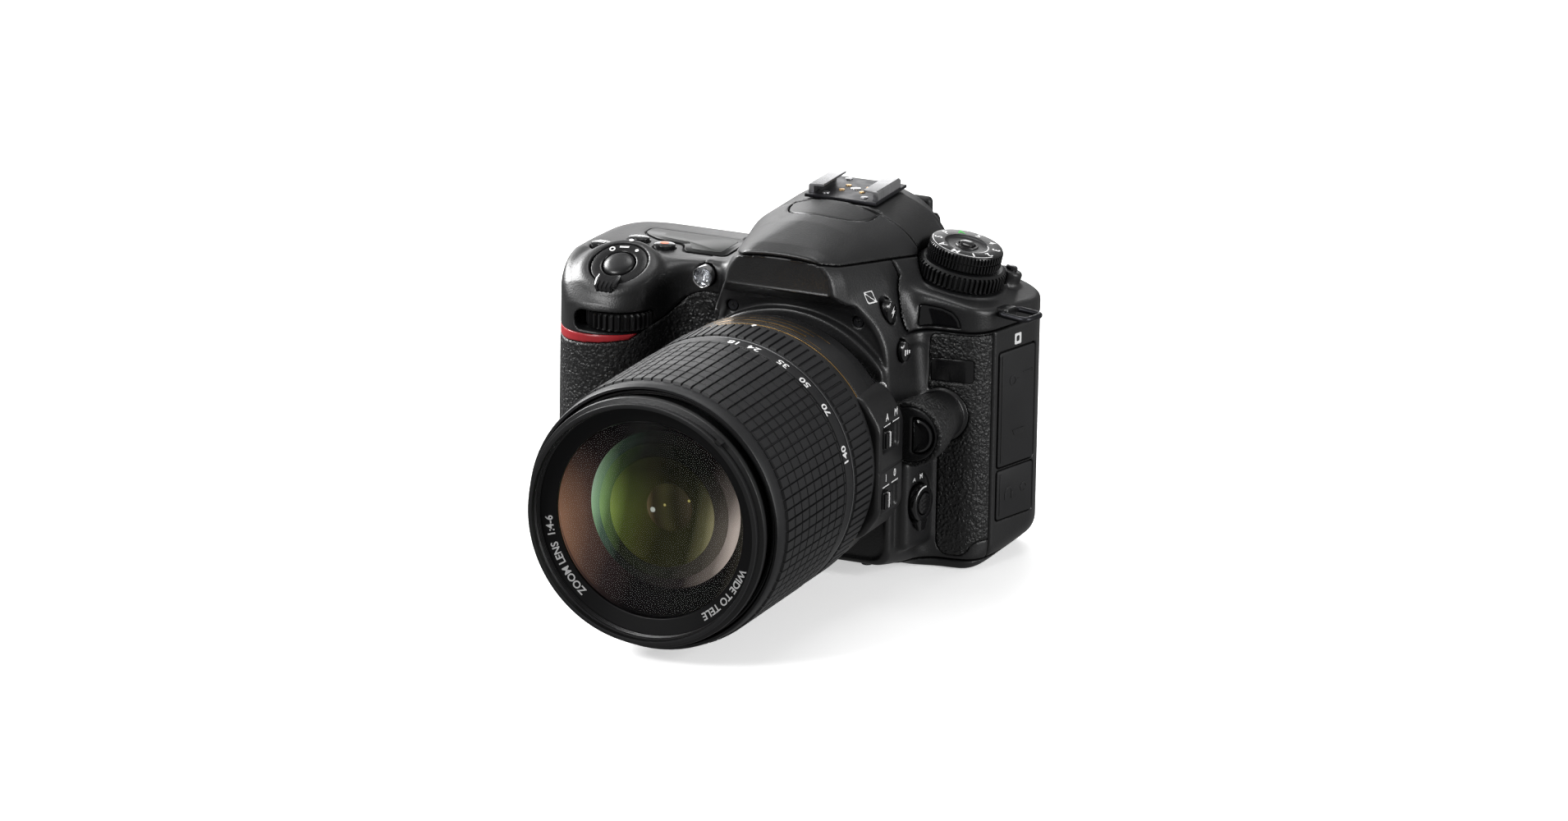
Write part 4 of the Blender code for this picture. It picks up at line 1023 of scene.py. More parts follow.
def build_rear_cover(c):
    grid = c.grid
    rear = np.maximum(np.maximum(grid.z - SPLIT_Z, SPLIT_Y - grid.y), BASE_THICKNESS - grid.z) + GAP
    monitor_room = box_field(grid, -33.6, 45.6, 11.2, 40, 7.4, 64.5, 0.8)
    thumb = rounded([(-70, 18), (-57, 18), (-55.5, 40), (-57.5, 58), (-68, 60), (-71, 40)], 3.0)
    thumb = polygon_field(grid, thumb, "xz")
    pad_x, pad_z = PAD_CENTRE
    field = cut_from(
        smooth_max(c.body, rear, 0.8), monitor_room, np.maximum(thumb - 0.1, REAR_FACE - 0.9 - grid.y),
        side_band(grid, 0.17, 0.95, -1.9, 12.9, 28.1), side_band(grid, 0.17, 0.95, -1.9, 28.7, 63.6),
        box_field(grid, -90, -75.0, -11.7, 2.3, 20.0, 62.0, 0.4),
        box_field(grid, -77, -60, -6, -3.5, 28, 54),
        rod_field(grid, (*MAIN_WHEEL, 0), (0, 0, 1), 8.4, 64.2, 69.8),
        rod_field(grid, (pad_x, 0, pad_z), (0, 1, 0), 8.3, REAR_FACE - 1.4, 30),
        *(rod_field(grid, (x, 0, z), (0, 1, 0), 3.0, REAR_FACE - 1.4, 30) for x, z in REAR_BUTTONS.values()),
        edge=POCKET_EDGE)
    moulded("shell_rear", grid, field, "camera_body", "body", "rear_cover")
    rest = smooth_max(thumb + 0.25, grid.y - REAR_FACE - 1.5, 1.4)
    moulded("thumb_rest", grid, np.maximum(rest, REAR_FACE - 0.7 - grid.y), "camera_body", "grip",
        "thumb_rest_rubber")


def build_base_cover():
    grid = Grid((-79, -50, -0.5), (60, 15, 4), STEP)
    field = cut_from(np.maximum(body_form(grid), grid.z - BASE_THICKNESS + 0.05),
        box_field(grid, -72.3, -50.2, -37.3, -2.7, -5, 9, 0.4),
        rod_field(grid, TRIPOD_POINT, (0, 0, 1), 5.1, -5, 9))
    moulded("shell_base", grid, field, "camera_body", "body", "bottom_cover")


def build_flash_head():
    grid = Grid((-32, -52.5, 84), (32, -7, 102.5), STEP)
    form = body_form(grid)
    bay = box_field(grid, -9, 9, -47, -14, 80, 95.0, 0.5)
    head = smooth_max(form, np.maximum(flash_plane(grid, 0.3), grid.y - HOOD_REAR), 0.8)
    head = cut_from(head, bay, np.maximum(shoe_plate(grid) - 0.15, 95.6 - grid.z), dial_pocket(grid))
    moulded("flash_hood", grid, head, "flash_head", "body", "flash_head")
    step = smooth_max(np.maximum(form + 0.02, 96.0 - grid.z), shoe_plate(grid) + 0.12, 0.6)
    moulded("shoe_step", grid, np.maximum(step, grid.y + 11.2), "flash_head", "body")


def build_covers():
    covers = Covers()
    build_front_cover(covers)
    build_top_cover(covers)
    build_rear_cover(covers)
    build_base_cover()
    build_flash_head()


def skin_icon(name, centre, half_y, half_z, look, hollow, slash):
    """A printed mark that follows the body's skin, drawn in the side view."""
    x, y, z = centre
    grid = Grid((x - 4, y - half_y - 0.4, z - half_z - 0.4), (x + 4, y + half_y + 0.4, z + half_z + 0.4),
        0.16)
    form = body_form(grid)
    u = np.abs(grid.y - y) - half_y
    v = np.abs(grid.z - z) - half_z
    mark = smooth_max(u, v, 0.5)
    if hollow:
        mark = np.maximum(mark, -(mark + hollow))
    if slash:
        bar = np.abs(grid.y - y + (grid.z - z) * slash) - 0.22
        mark = np.minimum(mark, np.maximum(bar, np.maximum(u, v)))
    moulded(name, grid, np.maximum(mark, np.maximum(form - 0.05, -(form + 0.4))), "camera_body", look,
        share=0.7)


def window_field(grid, inset):
    """The dark window over the rubber panel: straight on the left, drawn down on the right."""
    outline = [(32.2, 71.8), (44.6, 71.8), (43.9, 74.4), (42.0, 76.4), (39.0, 77.5), (32.0, 78.2)]
    field = polygon_field(grid, rounded(outline, 0.7), "xz") + inset
    return np.maximum(field, np.maximum(grid.y + 18.0, -grid.y - 40.0))


# ================================================================ lens

def rib_wave(count, high_share, valley, region, cuts=None, notch=0.3):
    """Angles and a radius rule for axial ribs with cross cuts inside a region of the axis."""
    angles = []
    low_places = set()
    for i in range(count):
        for share, low in ((0.0, True), (0.05, False), (high_share, False), (high_share + 0.05, True)):
            angle = math.tau * (i + share) / count
            angles.append(angle)
            if low:
                low_places.add(angle)

    def rule(angle, along, radius):
        if not region[0] <= along <= region[1]:
            return radius
        if angle in low_places:
            return radius - valley
        if cuts and any(a <= along <= b for a, b in cuts):
            return radius - notch
        return radius
    return angles, rule


def build_barrel():
    body = "camera_body"
    turned("mount_flange", [(31.5, -45.5), (30.6, -46.5), (25.6, -46.5), (25.6, -42.05), (31.5, -42.05)],
        LENS, body, "steel", "body_mount_ring", 144)
    turned("lens_bayonet", [(33.0, -47.5), (33.0, -46.8), (25.0, -46.8), (25.0, -41.0), (23.6, -41.0),
        (23.6, -46.6), (12.4, -46.6), (12.4, -47.5)], LENS, body, "chrome", "lens_mount", 144)
    turned("barrel_shell", [(34.2, -47.8), (34.9, -48.2), (35.5, -51.2), (36.6, -52.0), (37.3, -55.0),
        (38.0, -57.6), (38.15, -58.6), (38.15, -66.6), (37.75, -66.9), (37.75, -67.6), (38.15, -67.9),
        (38.15, -69.1), (36.5, -69.1), (36.5, -134.6), (35.8, -134.6), (35.8, -60), (24.5, -56),
        (24.5, -47.8)], LENS, body, "lens", "lens_barrel", 192, 0.12)
    turned("barrel_trim", [(38.2, -67.75), (38.2, -67.3), (37.6, -67.3), (37.6, -67.75)], LENS, body,
        "gold", None, 192, 0.05)


def build_switch_panel():
    panel = rounded([(30.2, 62.8), (34.6, 61.2), (39.55, 53.6), (39.55, 27.8), (34.6, 20.8), (30.2, 19.2)],
        2.2)
    grid = Grid((29, -70, 18), (40.5, -50, 64), STEP * 0.8)
    field = smooth_max(polygon_field(grid, panel, "xz"), np.maximum(-68.5 - grid.y, grid.y + 51.0), 1.6)
    field = np.maximum(field, 33.5 - axis_distance(grid))
    for z in SWITCH_HEIGHTS.values():
        slot = box_field(grid, 38.4, 60, -66.2, -54.8, z - 3.7, z + 3.7, 1.2)
        field = smooth_max(field, -slot, 0.4)
    groove = np.abs(grid.z - 40.4) - 0.25
    field = np.maximum(field, -np.maximum(groove, 39.2 - grid.x))
    moulded("switch_panel", grid, field, "camera_body", "lens", share=0.7)


def build_focus_ring():
    focus = [(38.15, -84.45), (38.5, -84.2), (38.5, -83.1), (38.05, -82.9), (38.9, -82.6), (38.9, -71.2),
        (38.05, -70.9), (38.45, -70.7), (38.45, -69.75), (38.1, -69.45), (36.8, -69.45), (36.8, -84.45)]
    turned("focus_grip", focus, LENS, "focus_ring", "ring", "focus_ring", bevel=0,
        wave=rib_wave(94, 0.74, 0.65, (-82.7, -71.1)))
    turned("bright_line", [(38.75, -84.75), (38.75, -84.5), (37.0, -84.5), (37.0, -84.75)], LENS,
        "camera_body", "steel", None, 192, 0.04)


def build_zoom_ring():
    """A rubber ring whose ribs are cut across into rows of pads."""
    pitch = 4.85
    crest = 39.0
    cuts = []
    stations = [(37.2, -135.8), (37.9, -135.8), (38.15, -135.4), (38.5, -131.4), (38.35, -131.0),
        (38.25, -130.6), (crest, -130.3)]
    y = -130.3
    while y < -93.0:
        stations += [(crest, y + 4.1), (crest, y + 4.2), (crest, y + 4.75), (crest, y + pitch)]
        cuts.append((y + 4.15, y + 4.8))
        y += pitch
    end = y + 0.6
    stations += [(crest, end), (38.3, end + 0.3), (38.3, end + 0.7), (38.85, end + 0.95), (38.85, -85.5),
        (38.6, -85.0), (36.9, -85.0), (36.9, -134.4)]
    turned("zoom_grip", stations, LENS, "zoom_ring", "ring", "zoom_ring", bevel=0,
        wave=rib_wave(80, 0.84, 0.7, (-130.35, end + 0.05), cuts, 0.24))


def build_front_barrel():
    turned("middle_sleeve", [(35.5, -133), (35.5, -95), (34.95, -95), (34.95, -133)], LENS, "middle_tube",
        "lens_gloss", "middle_tube", 160)

    body = "front_barrel"
    turned("front_sleeve", [(34.8, -143.4), (34.8, -141.6), (34.3, -141.3), (34.3, -140.9), (36.0, -140.6),
        (36.1, -140.2), (36.1, -138.7), (35.7, -138.4), (34.6, -138.2), (34.6, -95), (33.4, -95),
        (33.4, -128), (28.5, -130), (28.5, -133.4), (29.4, -134.1), (33.2, -138.6), (33.2, -141.2),
        (33.6, -141.6), (33.6, -143.4)], LENS, body, "lens", "front_barrel", 192, 0.1)
    for y in (-140.6, -139.9, -139.2):
        turned(f"thread_{-y:.0f}", [(33.5, y - 0.2), (33.05, y), (33.5, y + 0.2)], LENS, body, "lens_gloss",
            None, 160, 0)
    turned("name_ring", [(28.4, -137.2), (28.4, -137.8), (28.65, -138.0), (32.8, -138.8), (33.1, -138.9),
        (33.1, -138.0), (29.5, -137.2)], LENS, body, "name_ring", None, 192, 0.08)
    spot = LENS @ Matrix.Rotation(math.radians(40), 4, "Z")
    plate("hood_stop", rect(-0.9, 0.9, 34.3, 35.9), spot, -143.1, -140.4, body, "lens", bevel=0.15)
    turned("inner_barrel", [(33.3, -120.5), (33.3, -119.0), (8.0, -119.0), (8.0, -120.5)], LENS, body,
        "void", None, 96)


def build_lens_cells():
    """The front glass, and glowing surfaces that stand for the inner lenses, painted with their reflections
    and with painted glints.
    """
    body = "front_barrel"
    turned("front_glass", [(0, -138.7), (8, -138.6), (16, -138.25), (22, -137.75), (28.2, -136.9),
        (28.2, -136.0), (22, -136.3), (12, -136.6), (0, -136.8)], LENS, body, "front", "front_element", 144,
        0, closed=False)
    turned("front_cell", [(28.4, -136.9), (28.3, -136.1), (27.6, -134.9), (25.4, -130.7), (25.1, -130.0),
        (23.2, -127.5), (22.7, -127.0), (23.0, -120.6), (28.4, -120.6)], LENS, body, "cell", None, 144, 0.1)
    turned("second_rim", [(22.7, -127.0), (21.6, -128.0), (19.8, -128.4), (19.6, -128.1), (19.6, -121.2),
        (22.7, -121.2)], LENS, body, "rim", None, 144, 0.06)
    turned("second_glass", [(19.6, -128.3), (18.0, -129.0), (16.2, -129.6), (15.9, -129.4), (15.9, -121.2),
        (19.6, -121.2)], LENS, body, "coat", None, 144, 0.06)
    turned("third_glass", [(15.9, -129.3), (14.0, -128.9), (10.5, -127.3), (8.2, -125.9), (7.2, -124.9),
        (6.8, -124.2), (6.8, -121.2), (15.9, -121.2)], LENS, body, "deep", None, 144, 0.06)
    turned("pupil_glass", [(0, -125.6), (2.4, -125.5), (4.6, -125.1), (6.8, -124.4), (6.8, -123.6),
        (0, -123.6)], LENS, body, "pupil", None, 96, 0, closed=False)
    # painted glints: small glowing cones inside the lens
    glints = [(-4.6, -125.4, -1.0, 0.75, "glint"), (-0.9, -125.4, 0.9, 0.5, "spark"),
        (6.6, -125.9, 3.2, 0.4, "spark")]
    for k, (x, y, z, size, look) in enumerate(glints):
        turned(f"inner_glint_{k}", [(0, 0.35), (size * 0.7, 0.22), (size, 0.0), (0, 0.0)],
            basis((x, y, AXIS_Z + z), (0, -1, 0)), body, look, None, 20, 0, closed=False)
    turned("rear_glass", [(0, -50.5), (6, -50.2), (12.1, -49.5), (12.1, -46.0), (6, -45.4), (0, -45.2)],
        LENS, "camera_body", "clear", "rear_element", 96, 0, closed=False)


# ================================================================ controls on the top

def build_release():
    turned("release_cap", [(0, 1.3), (2.2, 1.22), (3.6, 1.0), (4.35, 0.6), (4.65, 0.1), (4.65, -3.7),
        (0, -3.7)], SHUTTER, "shutter_button", "satin", "shutter_button", 72, 0.0, closed=False)
    turned("power_collar", [(5.05, -0.8), (5.05, 0.1), (5.25, 0.35), (5.7, 0.42), (8.1, 0.25),
        (8.45, -0.05), (8.45, -0.8)], SHUTTER, "power_switch", "lens_gloss", "power_switch", 96, 0.08)
    lever = [(-3.1, -11.2), (-1.2, -11.8), (1.2, -11.8), (3.1, -11.2), (3.7, -8.2), (3.5, -5.6), (0, -6.6),
        (-3.5, -5.6), (-3.7, -8.2)]
    plate("power_lever", rounded(lever, 0.7), SHUTTER, 0.2, 2.0, "power_switch", "button", bevel=0.5,
        dome=0.1)
    for k in range(4):
        x = (k - 1.5) * 1.35
        ridge = rect(x - 0.3, x + 0.3, -11.9, -9.3)
        plate(f"lever_ridge_{k}", ridge, SHUTTER, 0.2, 2.4, "power_switch", "button", bevel=0.14)


def build_dials():
    turned("release_ring", [(3.8, -0.25), (12.5, -0.25), (12.9, 0.25), (12.9, 3.7), (12.3, 4.2),
        (11.6, 4.7), (3.8, 4.7)], DIAL, "release_dial", "dial", "release_dial", bevel=0,
        wave=knurled(52, 11.9, 12.9, 0.1, 3.8, 0.0, 0.62, cap=12.3))
    turned("mode_wheel", [(2.6, 5.2), (10.4, 5.2), (10.8, 5.5), (10.8, 7.4), (10.2, 7.5), (10.2, 7.75),
        (10.8, 7.85), (10.8, 9.4), (10.5, 9.75), (10.4, 10.05), (10.15, 10.18), (6.6, 10.18), (6.3, 9.9),
        (5.4, 9.7), (3.4, 9.7), (3.2, 10.0), (2.6, 10.0)], DIAL, "mode_dial", "dial", None, bevel=0,
        wave=knurled(62, 10.1, 10.8, 5.4, 9.5, 10.5, 0.6))
    turned("mode_sleeve", [(3.5, -3.6), (3.5, 5.5), (2.6, 5.5), (2.6, -3.6)], DIAL, "mode_dial", "button",
        "mode_dial", 48)
    turned("mode_lock_cap", [(0, 10.75), (1.5, 10.7), (2.15, 10.4), (2.3, 9.9), (2.3, 5.3), (0, 5.3)], DIAL,
        "mode_dial_lock", "button", "mode_dial_lock", 48, 0, closed=False)
    turned("release_lock_pin", [(0, 2.9), (1.4, 2.8), (1.75, 2.4), (1.75, 0), (0, 0)],
        basis(LOCK_PIN_POINT, LOCK_PIN_AXIS), "camera_body", "button", None, 36, 0, closed=False)
    turned("mode_pointer", [(0, 1.2), (1.5, 1.0), (1.9, 0.3), (1.9, -1.5), (0, -1.5)],
        basis((24.6, 0.5, 86.2), (0.35, 0.2, 1.0)), "camera_body", "button", None, 36, 0, closed=False)


def build_top_buttons():
    for name, (x, y) in TOP_BUTTONS.items():
        spot = basis((x, y, BODY_TOP), (0, 0, 1), (0, 1, 0))
        plate(name + "_cap", oval(3.2, 2.7 if name != "movie" else 3.0), spot, -2.2, 0.65, name + "_button",
            "button", name + "_button", bevel=0.45, dome=0.2)


def build_top_display():
    plate("display_glass", display_outline(0.1), Matrix.Identity(4), 80.7, 81.2, "camera_body", "display",
        "top_display_window", 0.15)
    plate("display_field", rounded([(-58, 1), (-58, -4.6), (-48, -6.2), (-44.5, -12.4), (-35.5, -12.4),
        (-35.5, 1)], 1.0), Matrix.Identity(4), 81.2, 81.26, "camera_body", "lcd", bevel=0.02)


def build_command_wheels():
    for name, centre, radius, count, low, high in (("sub_command", SUB_WHEEL, 9.8, 30, 63.2, 68.2),
            ("main_command", MAIN_WHEEL, 8.0, 28, 64.6, 69.4)):
        profile = [(0, low), (radius - 0.7, low), (radius, low + 0.5), (radius, high - 0.5),
            (radius - 0.7, high), (0, high)]
        turned(name + "_wheel", profile, basis((*centre, 0), (0, 0, 1), (0, 1, 0)), name + "_dial", "dial",
            name + "_dial", bevel=0, closed=False,
            wave=knurled(count, radius - 1.1, radius, low + 0.3, high - 0.3, radius - 0.5, 0.62, 0.18))


def build_focus_lamp():
    spot = basis(FOCUS_LAMP, (0, 1, 0))
    turned("focus_lamp_rim", [(3.05, -26.4), (3.05, -21), (2.7, -21), (2.7, -26.1)], spot, "camera_body",
        "chrome", "af_assist_lamp", 64, 0.06)
    facets = [math.tau * i / 8 for i in range(8)]
    turned("focus_lamp_glass", [(0, -25.9), (1.0, -26.2), (1.9, -25.6), (2.68, -26.0), (2.68, -25.0),
        (0, -25.0)], spot, "camera_body", "clear", None, bevel=0, closed=False,
        wave=(facets, lambda a, t, r: r), sharp=5.0)
    turned("focus_lamp_bowl", [(0, -23.2), (1.2, -23.6), (2.66, -25.0), (2.66, -22.8), (0, -22.8)], spot,
        "camera_body", "chrome", None, 48, 0, closed=False)


def build_shoe():
    """The accessory shoe's channel, springs, contacts and screws."""
    channel = rect(-11.3, 11.3, 100.25, 101.2)
    frame_at = Matrix(((1, 0, 0, 0), (0, 0, -1, 0), (0, 1, 0, 0), (0, 0, 0, 1)))
    plate("shoe_floor", rounded(channel, 0.2), frame_at, -14.0, 8.0, "camera_body", "dark", "hot_shoe", 0.1)
    for side in (-1, 1):
        rail = [(side * 10.9, 101.0), (side * 10.9, 103.4), (side * 10.3, 103.95), (side * 6.3, 103.95),
            (side * 6.3, 103.3), (side * 9.3, 103.3), (side * 9.3, 101.0)]
        plate(f"shoe_rail_{side + 1}", rail, frame_at, -10.5, 6.0, "camera_body", "steel", bevel=0.05)
        spring = [(side * 9.25, 101.2), (side * 9.25, 103.2), (side * 8.8, 103.2), (side * 8.8, 101.2)]
        plate(f"shoe_spring_{side + 1}", spring, frame_at, -8.0, 3.0, "camera_body", "chrome", bevel=0.05)
    flat = basis((0, 0, 0), (0, 0, 1), (0, 1, 0))
    contacts = [(0, 3, 1.5), (-3.2, 5.4, 0.9), (3.2, 5.4, 0.9), (-3.2, 0.4, 0.9), (3.2, 0.4, 0.9)]
    for k, (x, y, r) in enumerate(contacts):
        outline = [(x + a, y + b) for a, b in oval(r, r, 24)]
        plate(f"shoe_contact_{k}", outline, flat, 101.2, 101.4, "camera_body", "gold" if k else "chrome",
            bevel=0.08)
    for k, (x, y) in enumerate(((-6, -4.5), (6, -4.5), (-6, 11.8), (6, 11.8))):
        outline = [(x + a, y + b) for a, b in oval(1.1, 1.1, 24)]
        plate(f"shoe_screw_{k}", outline, flat, 101.2, 101.45, "camera_body", "steel", bevel=0.12)


# ================================================================ controls on the front

def sideways(degrees):
    """To the camera's left, turned forwards by an angle."""
    return math.cos(math.radians(degrees)), -math.sin(math.radians(degrees)), 0.0


CHEEK_AXIS = sideways(CHEEK_TURN)
SELECTOR = basis(SELECTOR_POINT, sideways(SELECTOR_TURN))


def build_front_buttons():
    for name, centre, half_y, half_z in (("flash", FLASH_BUTTON, 2.15, 3.3),
            ("bracket", BRACKET_BUTTON, 2.15, 2.9)):
        spot = basis(centre, CHEEK_AXIS)
        plate(name + "_cap", oval(half_y, half_z), spot, -1.8, 0.75, name + "_button", "button",
            name + "_button", bevel=0.4, dome=0.25)
    spot = basis((LENS_RELEASE[0], -45.4, LENS_RELEASE[1]), (0, -1, 0))
    outline = rounded([(max(x, -1.1), y) for x, y in oval(5.0, 5.0, 48) if x > -1.4], 0.5, 2)
    plate("lens_release_cap", outline, spot, -3.0, 0.25, "lens_release_button", "button",
        "lens_release_button", bevel=0.9, dome=-0.25)


def build_selector():
    turned("selector_lever", [(3.5, -1.3), (5.25, -1.3), (5.25, 1.1), (4.9, 1.6), (3.5, 1.6)], SELECTOR,
        "focus_mode_lever", "button", "focus_mode_lever", 72, 0.15)
    plate("selector_grip", rounded([(-1.9, 3.6), (1.9, 3.6), (2.6, 5.6), (1.4, 8.3), (-1.4, 8.3),
        (-2.6, 5.6)], 0.8), SELECTOR @ Matrix.Rotation(math.radians(180), 4, "Z"), -0.6, 1.3,
        "focus_mode_lever", "button", bevel=0.4)
    plate("selector_cap", oval(3.2, 3.2, 48), SELECTOR, -1.3, 2.0, "focus_mode_button", "button",
        "focus_mode_button", bevel=0.5, dome=0.1)
    for k in range(3):
        y = (k - 1) * 1.3
        plate(f"selector_ridge_{k}", rect(-2.0, 2.0, y - 0.25, y + 0.25), SELECTOR, 1.95, 2.25,
            "focus_mode_button", "button", bevel=0.08)
    plate("selector_arc", ring_mark(4.75, 5.15, (0, 0), 78, 138, 10), SELECTOR, 1.55, 1.66,
        "focus_mode_lever", "white", bevel=0.02)


def build_lens_switches():
    for name, z in SWITCH_HEIGHTS.items():
        side = basis((0, 0, z), (1, 0, 0), (0, 0, 1))
        knob = rounded(rect(-65.5, -60.7, -2.6, 2.6), 0.9)
        plate(name + "_knob", knob, side, 38.6, 39.7, name + "_switch", "button", name + "_switch",
            bevel=0.25)
        for k in range(4):
            y = -64.9 + k * 1.2
            ridge = rect(y - 0.3, y + 0.3, -2.2, 2.2)
            look = "white" if k == 2 else "button"
            plate(f"{name}_ridge_{k}", ridge, side, 39.6, 40.3, name + "_switch", look, bevel=0.14)


def build_front_screws():
    for k, (x, z) in enumerate(FRONT_SCREWS):
        spot = basis((x, -40.9, z), (0, -1, 0))
        turned(f"front_screw_{k}", [(0, 0.0), (0.5, 0.05), (1.45, 0.12), (1.6, -0.1), (1.6, -0.9),
            (0, -0.9)], spot, "camera_body", "dark", None, 32, 0, closed=False)
        # each slot is a thin near-black bar on the head, not a cut: painted shade standing in for the groove
        for turn in (0, 90):
            slot = spot @ Matrix.Rotation(math.radians(turn + 30 + 25 * k), 4, "Z")
            plate(f"screw_slot_{k}_{turn}", rect(-0.9, 0.9, -0.2, 0.2), slot, 0.0, 0.14, "camera_body",
                "void", bevel=0.02)
    turned("mount_index", [(0, 0.12), (1.2, 0.08), (1.35, -0.2), (0, -0.2)],
        basis((30.1, -45.5, 58.9), (0, -1, 0)), "camera_body", "white", None, 32, 0, closed=False)


# ================================================================ rear, sides and base

def build_rear():
    back = basis((0, 0, 0), (0, 1, 0), (0, 0, 1))          # local x is -x, local y is z
    x0, x1, z0, z1 = -33.0, 45.0, 10.0, 63.0
    grid = Grid((x0, 13.2, z0), (x1, 18.9, z1), STEP)
    slab = box_field(grid, x0 + 0.1, x1 - 0.1, 13.4, 18.7, z0 + 0.1, z1 - 0.1, 1.8)
    slab = np.maximum(slab, -box_field(grid, x0 + 5.8, x1 - 5.8, 18.1, 30, z0 + 4.8, z1 - 3.8, 0.4))
    moulded("monitor_frame", grid, slab, "monitor", "satin", "monitor")
    screen = rounded([(-x0 - 6.1, z0 + 5.1), (-x0 - 6.1, z1 - 4.1), (-x1 + 6.1, z1 - 4.1),
        (-x1 + 6.1, z0 + 5.1)], 0.6)
    plate("monitor_glass", screen, back, 17.9, 18.45, "monitor", "screen", bevel=0.15)
    cup_grid = Grid((-18, 17.2, 79), (18, 22, 98), STEP * 0.8)
    cup = smooth_max(box_field(cup_grid, -17.1, 17.1, 17.9, 21.4, 79.7, 96.8, 1.6),
        -box_field(cup_grid, -11, 11, 10, 30, 83.5, 94, 1.6), 1.6)
    moulded("eyepiece_cup", cup_grid, cup, "camera_body", "ring", "eyecup", 0.6)
    window = rounded(rect(-11.6, 11.6, 83.1, 94.4), 1.6)
    plate("eyepiece_glass", window, back, 11.2, 11.9, "camera_body", "window", bevel=0.1)
    for name, (x, z) in REAR_BUTTONS.items():
        spot = basis((x, REAR_FACE, z), (0, 1, 0))
        plate(name + "_cap", oval(2.7, 2.7), spot, -0.4, 0.7, name + "_button", "button", name + "_button",
            bevel=0.3, dome=0.2)
    pad = basis((PAD_CENTRE[0], REAR_FACE, PAD_CENTRE[1]), (0, 1, 0))
    turned("selector_pad", [(0, 0.9), (2.6, 0.95), (3.0, 0.55), (3.3, 0.5), (3.6, 1.0), (5.8, 1.55),
        (7.4, 1.4), (7.95, 0.9), (7.95, -0.3), (0, -0.3)], pad, "multi_selector", "dial", "multi_selector",
        72, 0, closed=False)
    for k in range(4):
        spot = pad @ Matrix.Rotation(math.radians(90 * k), 4, "Z")
        plate(f"pad_arrow_{k}", [(-0.8, 5.2), (0.8, 5.2), (0, 6.3)], spot, 1.4, 1.62, "multi_selector",
            "grey", bevel=0.02)
    turned("diopter_knob", [(0, 2.35), (2.9, 2.35), (3.5, 1.8), (3.5, 0.05), (0, 0.05)],
        basis(DIOPTER_POINT, (1, 0, 0)), "diopter_dial", "dial", "diopter_dial", bevel=0, closed=False,
        wave=knurled(30, 3.1, 3.5, 0.2, 1.9, 3.2))


def side_frame(share):
    """A frame on the sloping right side, a share of its way back: local x runs to the rear and z outwards."""
    along = FLANK_RUN.to_3d().normalized()
    start = FLANK_START.to_3d() + along * FLANK_RUN.length * share
    outward = Vector((along.y, -along.x, 0))
    matrix = Matrix((along, Vector((0, 0, 1)), outward)).transposed().to_4x4()
    matrix.translation = start
    return matrix


def ring_mark(outer, inner, centre=(0, 0), start=0, end=360, steps=24):
    angles = [math.radians(start + (end - start) * i / steps) for i in range(steps + 1)]
    points = [(centre[0] + outer * math.cos(a), centre[1] + outer * math.sin(a)) for a in angles]
    return points + [(centre[0] + inner * math.cos(a), centre[1] + inner * math.sin(a))
        for a in reversed(angles)]


def build_doors():
    frame_at = side_frame(0.19)
    width = 0.74 * FLANK_RUN.length
    for name, low, high in (("upper", 28.9, 63.3), ("lower", 13.1, 27.9)):
        outline = rounded(rect(0.15, width - 0.15, low + 0.1, high - 0.1), 0.9)
        plate(f"door_{name}", outline, frame_at, -1.6, 0.0, f"port_door_{name}", "door",
            f"port_door_{name}", bevel=0.25)
        edge = rect(1.3, 1.75, low + 1.2, high - 1.2)
        plate(f"door_line_{name}", edge, frame_at, -0.1, 0.14, f"port_door_{name}", "door", bevel=0.08)
    marks = {
        "jack_ring": (ring_mark(1.5, 1.15, (6.4, 54.0), 0, 350), "upper"),
        "jack_stem": (rect(7.9, 9.6, 53.8, 54.2), "upper"),
        "bus_line": (rect(11.2, 15.0, 55.4, 55.75), "upper"),
        "bus_tip": ([(15.0, 55.1), (15.9, 55.58), (15.0, 56.05)], "upper"),
        "video_plug": ([(6.6, 39.0), (12.2, 39.0), (11.4, 37.4), (7.4, 37.4)], "upper"),
        "phones_arc": (ring_mark(1.7, 1.3, (5.6, 20.6), 0, 180), "lower"),
        "phones_left": (rect(3.7, 4.5, 18.6, 20.6), "lower"),
        "phones_right": (rect(6.7, 7.5, 18.6, 20.6), "lower"),
        "remote_ring": (ring_mark(1.5, 1.1, (12.4, 20.8), 0, 300), "lower"),
    }
    for name, (outline, door) in marks.items():
        plate(name, outline, frame_at, -0.1, 0.13, f"port_door_{door}", "door", bevel=0.05)


def build_card_door():
    card = [(-77.15, -11.2), (-76.0, 1.8), (-75.3, 1.8), (-75.3, -11.2)]
    plate("card_lid", rounded(card, 0.25), Matrix.Identity(4), 20.4, 61.6, "card_door", "body", "card_door",
        0.15)
    for k in range(5):
        z = 33 + k * 1.4
        rib = [(-77.25, -8.6), (-76.75, -3.0), (-76.55, -3.0), (-77.05, -8.6)]
        plate(f"card_rib_{k}", rib, Matrix.Identity(4), z, z + 0.6, "card_door", "body", bevel=0.05)


def build_base():
    under = basis((0, 0, 0), (0, 0, -1), (0, 1, 0))
    lid = rounded(rect(51.05, 71.95, -36.9, -3.1), 0.8)
    plate("battery_lid", lid, under, -2.3, -0.3, "battery_door", "body", "battery_door", 0.2)
    turned("tripod_thread", [(4.8, 0.12), (3.3, 0.12), (3.1, 0.4), (3.1, 6.0), (4.8, 6.0)],
        basis(TRIPOD_POINT, (0, 0, 1)), "camera_body", "chrome", "tripod_socket", 64, 0.1)
    for k, (x, y) in enumerate(((-44, -8), (44, -12), (44, 8), (-44, 8), (20, -30), (-18, -30))):
        turned(f"base_screw_{k}", [(0, 0.05), (1.5, 0.05), (1.7, 0.25), (1.7, 1.0), (0, 1.0)],
            basis((x, y, 0), (0, 0, 1)), "camera_body", "dark", None, 24, 0, closed=False)


